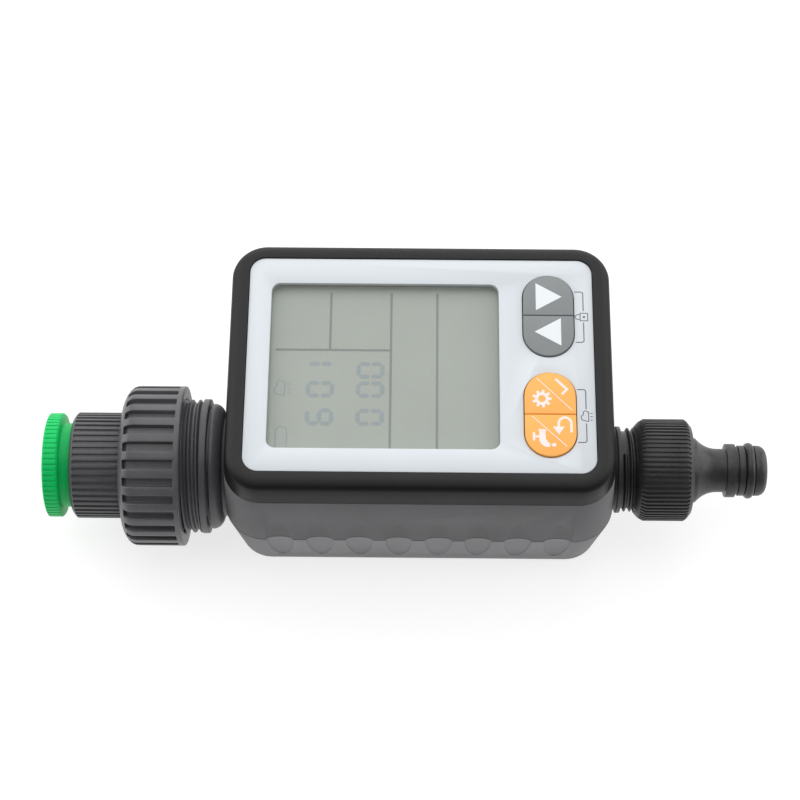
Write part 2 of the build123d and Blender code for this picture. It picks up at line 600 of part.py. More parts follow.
# ---- valve --------------------------------------------------------------------------------
def make_valve_body():
    body = rod_x(BARREL_R, FITTING_FLANGE_X, VALVE_X + BARREL_HALF)
    body += rod_x(VALVE_FLANGE_R, FITTING_FLANGE_X, FITTING_FLANGE_X + VALVE_FLANGE_T)
    body += rod_x(OUTLET_PIPE_R, VALVE_X, SHOULDER_START)
    shoulder_end = SHOULDER_START + SHOULDER_T
    thread = [(SHOULDER_START, OUTLET_BORE_R), (SHOULDER_START, SHOULDER_R), (shoulder_end, SHOULDER_R)]
    thread += thread_outline(shoulder_end, OUTLET_END, HOSE_THREAD_R, HOSE_THREAD_PITCH)
    body += turned(thread + [(OUTLET_END, OUTLET_BORE_R)])
    body = flange_flats(body)
    body += post(VALVE_X, 0, GLAND_R, 0, GLAND_TOP_Z)
    body -= rod_x(CAVITY_R, FITTING_FLANGE_X - 1, VALVE_X + SEAT_HALF)
    body -= rod_x(OUTLET_BORE_R, VALVE_X, OUTLET_END + 1)
    body -= post(VALVE_X, 0, STEM_R + RUNNING_CLEARANCE, 0, GLAND_TOP_Z + 1)
    for y, z in VALVE_SCREWS:
        hole = Rot(0, 90, 0) * Cylinder(VALVE_SCREW_HOLE_R, VALVE_SCREW_REACH)
        body -= Pos(FITTING_FLANGE_X, y, z) * hole
    save("valve_body", body)


def make_valve_screws():
    screws = []
    for y, z in VALVE_SCREWS:
        seat = FITTING_FLANGE_X - VALVE_FLANGE_T
        head = rod_x(VALVE_SCREW_HEAD_R, seat - VALVE_SCREW_HEAD_T, seat)
        shank = rod_x(VALVE_SCREW_R, seat, FITTING_FLANGE_X + VALVE_FLANGE_T)
        screws.append(Pos(0, y, z) * (head + shank))
    save("valve_screws", Compound(children=screws))


def make_ball_and_stem():
    slot = block(VALVE_X, 0, BALL_R - 2.2, BALL_R + 1, 2 * STEM_R + 3, STEM_TONGUE_T + 0.1)
    ball = Pos(VALVE_X, 0, 0) * Sphere(BALL_R)
    ball -= Pos(VALVE_X, 0, 0) * Rot(90, 0, 0) * Cylinder(BALL_BORE_R, 3 * BALL_R)
    save("valve_ball", ball - slot)
    seats = []
    for side in (-1, 1):
        face = VALVE_X + side * SEAT_HALF
        hollow = BALL_R + SEAT_GAP
        nose_r = math.sqrt(hollow ** 2 - SEAT_NOSE ** 2)
        outline = [(face, BALL_BORE_R)]
        for step in range(SEAT_STEPS + 1):
            r = BALL_BORE_R + (nose_r - BALL_BORE_R) * step / SEAT_STEPS
            outline.append((VALVE_X + side * math.sqrt(hollow ** 2 - r ** 2), r))
        outline += [(outline[-1][0], CAVITY_R - 0.03), (face, CAVITY_R - 0.03)]
        seats.append(turned(outline))
    save("ball_seats", Compound(children=seats))
    stem = post(VALVE_X, 0, STEM_R, BALL_R + 0.6, TIER_1_Z + GEAR_FACE + 0.2)
    stem += block(VALVE_X, 0, BALL_R - 2.1, BALL_R + 0.7, 2 * STEM_R - 0.6, STEM_TONGUE_T)
    grooves = [BALL_R + 2.6, BALL_R + 4.8]
    for low in grooves:
        core = post(VALVE_X, 0, STEM_R - 0.7, low, low + 1.2)
        stem -= post(VALVE_X, 0, STEM_R + CUT, low, low + 1.2) - core
    save("valve_stem", stem)
    rings = []
    for low in grooves:
        ring = post(VALVE_X, 0, STEM_R + 0.02, low + 0.05, low + 1.15)
        rings.append(ring - post(VALVE_X, 0, STEM_R - 0.7, low - 1, low + 2))
    save("stem_o_rings", Compound(children=rings))


# ---- gear train ---------------------------------------------------------------------------
def gear(teeth, low, x, y, tooth_angle, hole_r):
    """Spur gear with involute flanks; one tooth is centred on tooth_angle."""
    pitch_r = MODULE * teeth / 2
    base_r = pitch_r * math.cos(math.radians(20))
    tip_r = pitch_r + 0.85 * MODULE
    root_r = pitch_r - 1.2 * MODULE
    half_pitch = math.pi / (2 * teeth) - GEAR_BACKLASH / (2 * pitch_r)
    involute_20 = math.tan(math.radians(20)) - math.radians(20)
    flank = []
    for step in range(4):
        r = base_r + (tip_r - base_r) * step / 3
        turn = math.acos(base_r / r)
        flank.append((r, half_pitch + involute_20 - (math.tan(turn) - turn)))
    if root_r < base_r:
        flank = [(root_r, flank[0][1])] + flank
    else:
        flank = [(max(r, root_r), half) for r, half in flank]
    points = []
    for tooth in range(teeth):
        middle = math.radians(tooth_angle) + 2 * math.pi * tooth / teeth
        sides = [(r, middle - half) for r, half in flank]
        sides += [(r, middle + half) for r, half in reversed(flank)]
        points += [(r * math.cos(a), r * math.sin(a)) for r, a in sides]
    blank = extrude(make_face(Polyline(*points, close=True)), GEAR_FACE)
    blank -= Cylinder(hole_r, 4 * GEAR_FACE)
    return Pos(x, y, low) * blank


def train_point(distance):
    """A point on the line of gear centres, measured from the stem."""
    angle = math.radians(TRAIN_ANGLE)
    return VALVE_X + distance * math.cos(angle), distance * math.sin(angle)


def make_gear_train():
    back = TRAIN_ANGLE + 180
    stem_x, stem_y = train_point(0)
    output = gear(OUTPUT_TEETH, TIER_1_Z, stem_x, stem_y, TRAIN_ANGLE, STEM_R)
    save("output_gear", output)
    for name, distance, pinion_z, wheel_z in (("second_gear", SECOND_GEAR_AT, TIER_1_Z, TIER_2_Z),
                                              ("first_gear", FIRST_GEAR_AT, TIER_2_Z, TIER_3_Z)):
        x, y = train_point(distance)
        hole = AXLE_R + RUNNING_CLEARANCE
        pinion = gear(PINION_TEETH, pinion_z, x, y, back + 180 / PINION_TEETH, hole)
        hub = post(x, y, GEAR_HUB_R, pinion_z + GEAR_FACE, wheel_z) - post(x, y, hole, 0, RIM_Z)
        save(name, pinion + hub + gear(WHEEL_TEETH, wheel_z, x, y, TRAIN_ANGLE, hole))
    x, y = train_point(MOTOR_AT)
    save("motor_pinion", gear(PINION_TEETH, TIER_3_Z, x, y, back + 180 / PINION_TEETH, MOTOR_SHAFT_R))
    save("motor_shaft", post(x, y, MOTOR_SHAFT_R, BASE_Z - MOTOR_LENGTH + 2, TIER_3_Z + GEAR_FACE))
    motor = post(x, y, MOTOR_R, BASE_Z - MOTOR_LENGTH, BASE_Z)
    motor &= block(x, y, BASE_Z - MOTOR_LENGTH - 1, BASE_Z + 1, 2 * MOTOR_R, 1.55 * MOTOR_R)
    motor -= post(x, y, MOTOR_SHAFT_R + RUNNING_CLEARANCE, BASE_Z - MOTOR_LENGTH + 1, BASE_Z + CUT)
    save("drive_motor", motor)


def make_gearbox():
    middle_x, middle_y = train_point(MOTOR_AT / 2 - 1)
    length = MOTOR_AT + 2 * GEARBOX_MARGIN
    turn = Pos(middle_x, middle_y, 0) * Rot(0, 0, TRAIN_ANGLE)
    outline = turn * RectangleRounded(length, 2 * GEARBOX_MARGIN, GEARBOX_MARGIN - 0.1)
    base = Pos(0, 0, BASE_Z) * extrude(outline, BASE_T)
    wall = Pos(0, 0, BASE_Z) * extrude(outline, COVER_Z - BASE_Z)
    wall -= Pos(0, 0, BASE_Z) * extrude(turn * RectangleRounded(
        length - 2 * GEARBOX_WALL, 2 * (GEARBOX_MARGIN - GEARBOX_WALL),
        GEARBOX_MARGIN - GEARBOX_WALL - 0.1), COVER_Z - BASE_Z)
    base += wall
    base -= post(VALVE_X, 0, STEM_R + 0.3, 0, RIM_Z)
    motor_x, motor_y = train_point(MOTOR_AT)
    base -= post(motor_x, motor_y, 1.5, BASE_Z - 1, BASE_Z + BASE_T + 0.5)
    cover = Pos(0, 0, COVER_Z) * extrude(outline, BASE_T)
    axles = []
    for distance in (SECOND_GEAR_AT, FIRST_GEAR_AT):
        x, y = train_point(distance)
        base -= post(x, y, AXLE_R, BASE_Z - 1, BASE_Z + BASE_T + 0.5)
        cover -= post(x, y, AXLE_R, COVER_Z - 1, COVER_Z + BASE_T + 1)
        axles.append(post(x, y, AXLE_R, BASE_Z, COVER_Z + BASE_T))
    save("gearbox_base", base)
    save("gearbox_cover", cover)
    save("gear_axles", Compound(children=axles))


# ---- power --------------------------------------------------------------------------------
def battery_rod(radius, start, end, y, z):
    """Rod along X, used for the cells and their spaces."""
    return Pos((start + end) / 2, y, z) * Rot(0, 90, 0) * Cylinder(radius, end - start)


def make_power():
    start = BATTERY_X - BATTERY_LENGTH / 2
    end = BATTERY_X + BATTERY_LENGTH / 2
    cells, contacts = [], []
    tray = block(BATTERY_X, BATTERY_Y, TRAY_LOW_Z, TRAY_TOP_Z, TRAY_LENGTH, TRAY_WIDTH)
    tray -= block(BATTERY_X, BATTERY_Y, TRAY_LOW_Z - 1, TRAY_TOP_Z - TRAY_WALL,
                  TRAY_LENGTH - 2 * TRAY_WALL, TRAY_WIDTH - 2 * TRAY_WALL)
    for side in (-1, 1):
        y = BATTERY_Y + side * BATTERY_SPACING / 2
        pole_start = end - CELL_POLE_LENGTH if side > 0 else start
        can_start = start if side > 0 else start + CELL_POLE_LENGTH
        can_end = can_start + BATTERY_LENGTH - CELL_POLE_LENGTH
        pole = battery_rod(CELL_POLE_R, pole_start, pole_start + CELL_POLE_LENGTH, y, BATTERY_Z)
        cells.append(battery_rod(BATTERY_R, can_start, can_end, y, BATTERY_Z) + pole)
        for x, sign in ((start, -1), (end, 1)):
            tab = Pos(x + sign * 0.7, y, BATTERY_Z) * Box(TAB_T, TAB_SIZE, TAB_SIZE)
            spring = battery_rod(SPRING_R, min(x, x + sign * 0.5), max(x, x + sign * 0.5), y, BATTERY_Z)
            contacts.append(tab + spring)
    save("battery_tray", tray)
    save("batteries", Compound(children=cells))
    save("battery_contacts", Compound(children=contacts))


def hinge_rod(radius, length):
    """Rod on the hinge line of the battery door."""
    y = BATTERY_Y + DOOR_WIDTH / 2 - DOOR_GAP - HINGE_INSET
    z = BOTTOM_Z + DOOR_GAP + HINGE_INSET
    return battery_rod(radius, BATTERY_X - length / 2, BATTERY_X + length / 2, y, z)


def make_battery_door():
    door_top = BOTTOM_Z + DOOR_GAP + DOOR_T
    door = block(BATTERY_X, BATTERY_Y, BOTTOM_Z + DOOR_GAP, door_top, DOOR_LENGTH - 2 * DOOR_GAP,
                 DOOR_WIDTH - 2 * DOOR_GAP)
    far_edge = door.edges().filter_by(Axis.X).sort_by(Axis.Z)[:2].sort_by(Axis.Y)[-1]
    door = fillet(far_edge, HINGE_INSET - 0.05)
    door -= hinge_rod(HINGE_PIN_R + RUNNING_CLEARANCE, HINGE_PIN_LENGTH)
    for index in range(DOOR_RIBS):
        y = BATTERY_Y - DOOR_WIDTH / 2 + 4 + DOOR_RIB_PITCH * index
        door -= block(BATTERY_X, y, BOTTOM_Z, BOTTOM_Z + DOOR_GAP + DOOR_RIB_DEPTH, DOOR_RIB_LENGTH,
                      DOOR_RIB_WIDTH)
    save("battery_door", door)
    save("door_hinge_pin", hinge_rod(HINGE_PIN_R, HINGE_PIN_LENGTH))
    seal_top = door_top + DOOR_SEAL_T
    seal = block(BATTERY_X, BATTERY_Y, door_top, seal_top, DOOR_LENGTH - 4, DOOR_WIDTH - 4)
    seal -= block(BATTERY_X, BATTERY_Y, door_top - CUT, seal_top + CUT, DOOR_LENGTH - 8, DOOR_WIDTH - 8)
    save("door_seal", seal)


# ---- outlet -------------------------------------------------------------------------------
def make_connector():
    bore = HOSE_THREAD_R + THREAD_CLEARANCE
    washer_end = OUTLET_END + WASHER_THICKNESS
    tip = OVERALL_LENGTH
    ring_end = SPIGOT_GROOVE_START + O_RING_T + 2 * O_RING_SIDE_GAP
    land_start = SPIGOT_GROOVE_START - 1.9
    collar_end = SPIGOT_COLLAR_START + 2.95
    cone = CONNECTOR_END + 1.4
    outline = [(CONNECTOR_START, bore), (CONNECTOR_START, CONNECTOR_R - 2.6),
               (CONNECTOR_START + 1.2, CONNECTOR_R - 1.2), (CONNECTOR_START + 2.9, CONNECTOR_R),
               (CONNECTOR_END - 2.0, CONNECTOR_R), (CONNECTOR_END, CONNECTOR_R - 2.0),
               (CONNECTOR_END, 10.4), (cone, 10.0)]
    for step in range(1, 7):
        sweep = math.sin(math.radians(90 * step / 6))
        outline.append((cone + 7.2 * sweep, SPIGOT_NECK_R + 3.2 * (1 - sweep) ** 1.6))
    outline += [(SPIGOT_COLLAR_START, SPIGOT_NECK_R), (SPIGOT_COLLAR_START, SPIGOT_COLLAR_R),
                (collar_end, SPIGOT_COLLAR_R), (collar_end, SPIGOT_NECK_R),
                (land_start, SPIGOT_NECK_R), (land_start, SPIGOT_LAND_R),
                (SPIGOT_GROOVE_START, SPIGOT_LAND_R), (SPIGOT_GROOVE_START, SPIGOT_GROOVE_R),
                (ring_end, SPIGOT_GROOVE_R), (ring_end, SPIGOT_LAND_R),
                (tip - 2.6, SPIGOT_LAND_R), (tip - 1.2, SPIGOT_LAND_R - 1.0),
                (tip, SPIGOT_BORE_R + 0.8), (tip, SPIGOT_BORE_R), (washer_end, SPIGOT_BORE_R),
                (washer_end, bore)]
    connector = ribbed(turned(outline), CONNECTOR_R, FINE_RIB_DEPTH, CONNECTOR_RIBS, FINE_RIB_SHARE,
                       CONNECTOR_START + 3.1, CONNECTOR_END - 2.2)
    save("hose_connector", connector)
    save("connector_washer", tube_x(HOSE_THREAD_R - 0.3, OUTLET_BORE_R + 0.5, OUTLET_END, washer_end))
    ring = Pos(SPIGOT_GROOVE_START + O_RING_SIDE_GAP + O_RING_T / 2, 0, 0) * Rot(0, 90, 0) * Torus(
        SPIGOT_O_RING_R - O_RING_T / 2, O_RING_T / 2)
    save("spigot_o_ring", ring)


# ---- sizes worked out from the driving dimensions ---------------------------------------
TAIL_NECK_R = SLEEVE_R - 1.2
FILTER_R = TAIL_BORE_R - 0.1
FILTER_LENGTH = UNION_WASHER_START - BUSH_WASHER_END - 1.6
FITTING_FLANGE_X = VALVE_X - BARREL_HALF
VALVE_SCREW_REACH = 4 * VALVE_FLANGE_T
OUTLET_BORE_R = BALL_BORE_R + 3.0
OUTLET_PIPE_R = INNER_PIPE_R
OUTLET_END = CONNECTOR_START + 6 * HOSE_THREAD_PITCH
SPIGOT_GROOVE_R = SPIGOT_O_RING_R - O_RING_T
SCREW_SEAT_Z = BOTTOM_Z + CASE_RECESS_DEPTH
LIP_TOP_Z = DECK_BOTTOM_Z - 0.1
BOARD_POSTS = [(CASE_X + sx * (BOARD_LENGTH / 2 - 3), CASE_Y + sy * (BOARD_WIDTH / 2 - 2.8))
               for sx in (-1, 1) for sy in (-1, 1)]
CASE_SCREWS = [(CASE_X + side * (CREASE_LENGTH / 2 - 7.85), CASE_Y + CREASE_WIDTH / 2 - 7.7, FAR_POST_R)
               for side in (-1, 1)]
CASE_SCREWS += [(CASE_X + side * (CREASE_LENGTH / 2 - 21.3), CASE_Y - CREASE_WIDTH / 2 + 4.6, NEAR_POST_R)
                for side in (-1, 1)]
VALVE_SCREW_OFFSET = VALVE_SCREW_PCD_R * math.sqrt(0.5)
VALVE_SCREWS = [(sy * VALVE_SCREW_OFFSET, sz * VALVE_SCREW_OFFSET) for sy in (-1, 1) for sz in (-1, 1)]
BASE_Z = GLAND_TOP_Z
TIER_1_Z = BASE_Z + BASE_T + GEAR_AIR
TIER_2_Z = TIER_1_Z + TIER_STEP
TIER_3_Z = TIER_2_Z + TIER_STEP
COVER_Z = TIER_3_Z + GEAR_FACE + GEAR_AIR
SECOND_GEAR_AT = MODULE * (OUTPUT_TEETH + PINION_TEETH) / 2
FIRST_GEAR_AT = SECOND_GEAR_AT + MODULE * (WHEEL_TEETH + PINION_TEETH) / 2
MOTOR_AT = FIRST_GEAR_AT + MODULE * (WHEEL_TEETH + PINION_TEETH) / 2
GEARBOX_MARGIN = MODULE * OUTPUT_TEETH / 2 + 2.4
BATTERY_SPACING = 2 * BATTERY_R + BATTERY_GAP
TRAY_LENGTH = BATTERY_LENGTH + 2 * (TRAY_WALL + TRAY_GAP) + 2.2
TRAY_WIDTH = BATTERY_SPACING + 2 * (BATTERY_R + TRAY_WALL + TRAY_GAP)
BATTERY_Z = BOTTOM_Z + DOOR_GAP + DOOR_T + 1.6 + BATTERY_R
TRAY_LOW_Z = BOTTOM_Z + WALL
TRAY_TOP_Z = BATTERY_Z + BATTERY_R + TRAY_GAP + TRAY_WALL
DOOR_LENGTH = TRAY_LENGTH - 2 * TRAY_WALL
DOOR_WIDTH = TRAY_WIDTH - 2 * TRAY_WALL
HINGE_PIN_LENGTH = DOOR_LENGTH + 4

make_bezel()
make_mid_shell()
make_bottom_cover()
make_case_seal()
make_case_screws()
make_panel()
make_display()
make_keys()
make_key_mat()
make_board()
make_reducer_bush()
make_tailpiece()
make_union_nut()
make_filter()
make_inlet_fitting()
make_valve_body()
make_valve_screws()
make_ball_and_stem()
make_gear_train()
make_gearbox()
make_power()
make_battery_door()
make_connector()
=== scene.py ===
"""Looks of a tap-mounted drip irrigation timer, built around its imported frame.

Lengths in the classes are millimetres in the frame's own axes: X along the water path, Y towards
the battery side, Z up out of the display. Every mesh is scaled to metres when it is finished.
"""

import logging
import math
from dataclasses import dataclass
from enum import Enum
from typing import Callable, Sequence

import bmesh
import bpy
from bmesh.types import BMesh, BMVert
from bpy.types import NodeTree, Object
from mathutils import Matrix, Vector

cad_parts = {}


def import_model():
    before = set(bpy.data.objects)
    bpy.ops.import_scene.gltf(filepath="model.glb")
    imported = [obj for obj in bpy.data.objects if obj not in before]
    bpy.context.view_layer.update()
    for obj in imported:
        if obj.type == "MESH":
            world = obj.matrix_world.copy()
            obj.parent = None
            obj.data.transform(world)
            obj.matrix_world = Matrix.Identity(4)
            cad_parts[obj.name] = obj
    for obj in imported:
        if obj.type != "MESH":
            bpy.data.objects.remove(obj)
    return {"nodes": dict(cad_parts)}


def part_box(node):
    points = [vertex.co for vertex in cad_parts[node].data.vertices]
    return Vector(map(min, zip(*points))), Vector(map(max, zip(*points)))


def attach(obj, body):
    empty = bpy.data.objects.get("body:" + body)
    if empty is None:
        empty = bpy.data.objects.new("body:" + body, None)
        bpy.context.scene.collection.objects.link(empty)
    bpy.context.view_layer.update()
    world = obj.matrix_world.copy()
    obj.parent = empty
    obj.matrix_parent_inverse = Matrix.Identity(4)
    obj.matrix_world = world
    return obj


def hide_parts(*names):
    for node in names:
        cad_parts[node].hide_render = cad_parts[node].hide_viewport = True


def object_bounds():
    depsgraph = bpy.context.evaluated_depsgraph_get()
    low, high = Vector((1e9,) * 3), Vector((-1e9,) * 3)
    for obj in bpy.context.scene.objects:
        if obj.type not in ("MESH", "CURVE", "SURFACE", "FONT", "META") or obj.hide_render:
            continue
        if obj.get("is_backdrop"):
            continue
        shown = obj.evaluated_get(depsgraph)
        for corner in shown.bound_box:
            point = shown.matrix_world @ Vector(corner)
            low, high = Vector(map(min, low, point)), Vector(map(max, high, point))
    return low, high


LOG = logging.getLogger("irrigation_timer")
MM = 0.001
Point = tuple[float, float]
Color = tuple[float, float, float]
Outline = tuple[float, float, float]    # length along X, width along Y, corner radius

COARSE_GRAIN_SHARE = 0.4
DRIFT_SCALE = 55
DRIFT_RANGE = (0.3, 0.7)
SPECK_SCALE = 900
SPECK_RANGE = (0.56, 0.72)
SPECK_COLOR = (0.55, 0.53, 0.5, 1)
# painted highlight: faces that look up get a lighter grey mixed into their colour
TOP_HIGHLIGHT_RANGE = (0.45, 0.98)    # how far up a face looks before the painted highlight starts, and is full
TOP_HIGHLIGHT_COLOR = (0.5, 0.5, 0.5, 1)
BUMP_STRENGTH = 0.6
WELD = 1e-4


# ---- shader groups ------------------------------------------------------------------------
def new_group(name: str, inputs: Sequence[tuple[str, str, float]],
              outputs: Sequence[tuple[str, str]]) -> tuple:
    """Make an empty shader group with named sockets.

    Args:
        name: Name of the group.
        inputs: Socket name, kind and default value of each input.
        outputs: Socket name and kind of each output.

    Returns:
        The group, its input node and its output node.
    """
    group = bpy.data.node_groups.new(name, "ShaderNodeTree")
    for label, kind, default in inputs:
        socket = group.interface.new_socket(label, in_out="INPUT", socket_type=kind)
        if kind == "NodeSocketFloat":
            socket.default_value = default
    for label, kind in outputs:
        group.interface.new_socket(label, in_out="OUTPUT", socket_type=kind)
    return group, group.nodes.new("NodeGroupInput"), group.nodes.new("NodeGroupOutput")


def add_node(tree: NodeTree, kind: str, sockets: dict, **settings) -> bpy.types.Node:
    """Add a shader node with its settings, values and links.

    Args:
        tree: Tree to add it to.
        kind: Its type, without the common prefix.
        sockets: For each input, by name or number, a value or the output to link to it.
        settings: Properties of the node, set before its sockets.

    Returns:
        The node.
    """
    node = tree.nodes.new("ShaderNode" + kind)
    for name, value in settings.items():
        setattr(node, name, value)
    for name, value in sockets.items():
        if isinstance(value, bpy.types.NodeSocket):
            tree.links.new(value, node.inputs[name])
        else:
            node.inputs[name].default_value = value
    return node


def maths(tree: NodeTree, operation: str, first, second) -> bpy.types.NodeSocket:
    """Add a Math node; each operand is a socket or a number. Returns its output socket."""
    return add_node(tree, "Math", {0: first, 1: second}, operation=operation).outputs[0]


def grain_group() -> NodeTree:
    """Fine spark-eroded mould texture, as a height."""
    group, source, sink = new_group(
        "mould_grain",
        [("Vector", "NodeSocketVector", 0), ("Scale", "NodeSocketFloat", 4000)],
        [("Height", "NodeSocketFloat")])
    place = {"Vector": source.outputs["Vector"], "Scale": source.outputs["Scale"]}
    fine = add_node(group, "TexNoise", {"Detail": 3, **place})
    coarse = add_node(group, "TexVoronoi", place)
    mix = add_node(group, "Math", {1: COARSE_GRAIN_SHARE, 0: coarse.outputs["Distance"],
                                   2: fine.outputs["Fac"]}, operation="MULTIPLY_ADD")
    group.links.new(mix.outputs[0], sink.inputs["Height"])
    return group


def drift_group() -> NodeTree:
    """Slow change of tone and roughness, with specks of dust and a painted highlight on faces that look up.
    """
    group, source, sink = new_group(
        "surface_drift",
        [("Vector", "NodeSocketVector", 0), ("Color", "NodeSocketColor", 0),
         ("Tone", "NodeSocketFloat", 0.1), ("Roughness", "NodeSocketFloat", 0.4),
         ("Spread", "NodeSocketFloat", 0.08), ("Dust", "NodeSocketFloat", 0.05),
         ("Normal", "NodeSocketVector", 0), ("TopHighlight", "NodeSocketFloat", 0.0)],
        [("Color", "NodeSocketColor"), ("Roughness", "NodeSocketFloat")])
    given = source.outputs
    slow = add_node(group, "TexNoise", {"Scale": DRIFT_SCALE, "Detail": 5, "Vector": given["Vector"]})
    specks = add_node(group, "TexNoise", {"Scale": SPECK_SCALE, "Detail": 2, "Vector": given["Vector"]})
    shade = add_node(group, "MapRange", {
        "From Min": DRIFT_RANGE[0], "From Max": DRIFT_RANGE[1], "Value": slow.outputs["Fac"],
        "To Min": maths(group, "SUBTRACT", 1.0, given["Tone"]),
        "To Max": maths(group, "ADD", 1.0, given["Tone"])})
    tinted = add_node(group, "VectorMath", {0: given["Color"], "Scale": shade.outputs[0]},
                      operation="SCALE")
    film = add_node(group, "MapRange", {
        "From Min": SPECK_RANGE[0], "From Max": SPECK_RANGE[1], "Value": specks.outputs["Fac"],
        "To Max": given["Dust"]})
    dusty = add_node(group, "Mix", {"B": SPECK_COLOR, "Factor": film.outputs[0], "A": tinted.outputs[0]},
                     data_type="RGBA")
    facing = add_node(group, "SeparateXYZ", {0: given["Normal"]})
    # painted highlight: share of lighter grey that grows as the face looks further up
    highlight_share = add_node(group, "MapRange", {
        "From Min": TOP_HIGHLIGHT_RANGE[0], "From Max": TOP_HIGHLIGHT_RANGE[1], "Value": facing.outputs["Z"],
        "To Max": given["TopHighlight"]}, interpolation_type="SMOOTHSTEP")
    top_highlight = add_node(group, "Mix", {"B": TOP_HIGHLIGHT_COLOR, "Factor": highlight_share.outputs[0],
                                      "A": dusty.outputs["Result"]}, data_type="RGBA")
    centred = maths(group, "SUBTRACT", slow.outputs["Fac"], 0.5)
    rough = maths(group, "ADD", maths(group, "MULTIPLY", centred, given["Spread"]), given["Roughness"])
    group.links.new(top_highlight.outputs["Result"], sink.inputs["Color"])
    group.links.new(rough, sink.inputs["Roughness"])
    return group


class SharedGroups:
    """Shader groups that several finishes place in their materials."""

    made: dict[str, NodeTree] = {}

    @classmethod
    def get(cls, name: str, maker: Callable[[], NodeTree]) -> NodeTree:
        """Return the named group, building it the first time."""
        if name not in cls.made:
            cls.made[name] = maker()
        return cls.made[name]


# ---- finishes -----------------------------------------------------------------------------
@dataclass(frozen=True)
class Moulded:
    """A moulded or printed surface: base tone, gloss and spark texture."""

    name: str
    color: Color
    roughness: float = 0.45
    tone: float = 0.08
    spread: float = 0.12
    dust: float = 0.0
    grain_scale: float = 5000.0
    grain_depth: float = 0.00002
    metallic: float = 0.0
    coat: float = 0.0
    specular: float = 0.5
    alpha: float = 1.0
    # share of painted highlight, a lighter grey, mixed into faces that look up
    top_highlight: float = 0.0

    def material(self) -> bpy.types.Material:
        """Build the node material of this finish."""
        found = bpy.data.materials.get(self.name)
        if found:
            return found
        made = bpy.data.materials.new(self.name)
        made.use_nodes = True
        tree = made.node_tree
        shader = tree.nodes["Principled BSDF"]
        for label, value in (("Metallic", self.metallic), ("Coat Weight", self.coat),
                             ("Specular IOR Level", self.specular), ("Alpha", self.alpha)):
            shader.inputs[label].default_value = value
        place = add_node(tree, "TexCoord", {})
        drift = add_node(tree, "Group", {
            "Color": (*self.color, 1), "Tone": self.tone, "Roughness": self.roughness,
            "Spread": self.spread, "Dust": self.dust, "TopHighlight": self.top_highlight,
            "Vector": place.outputs["Object"], "Normal": place.outputs["Normal"],
        }, node_tree=SharedGroups.get("surface_drift", drift_group))
        tree.links.new(drift.outputs["Color"], shader.inputs["Base Color"])
        tree.links.new(drift.outputs["Roughness"], shader.inputs["Roughness"])
        if self.grain_depth:
            grain = add_node(tree, "Group", {"Scale": self.grain_scale, "Vector": place.outputs["Object"]},
                             node_tree=SharedGroups.get("mould_grain", grain_group))
            bump = add_node(tree, "Bump", {"Distance": self.grain_depth, "Strength": BUMP_STRENGTH,
                                           "Height": grain.outputs["Height"]})
            tree.links.new(bump.outputs["Normal"], shader.inputs["Normal"])
        return made


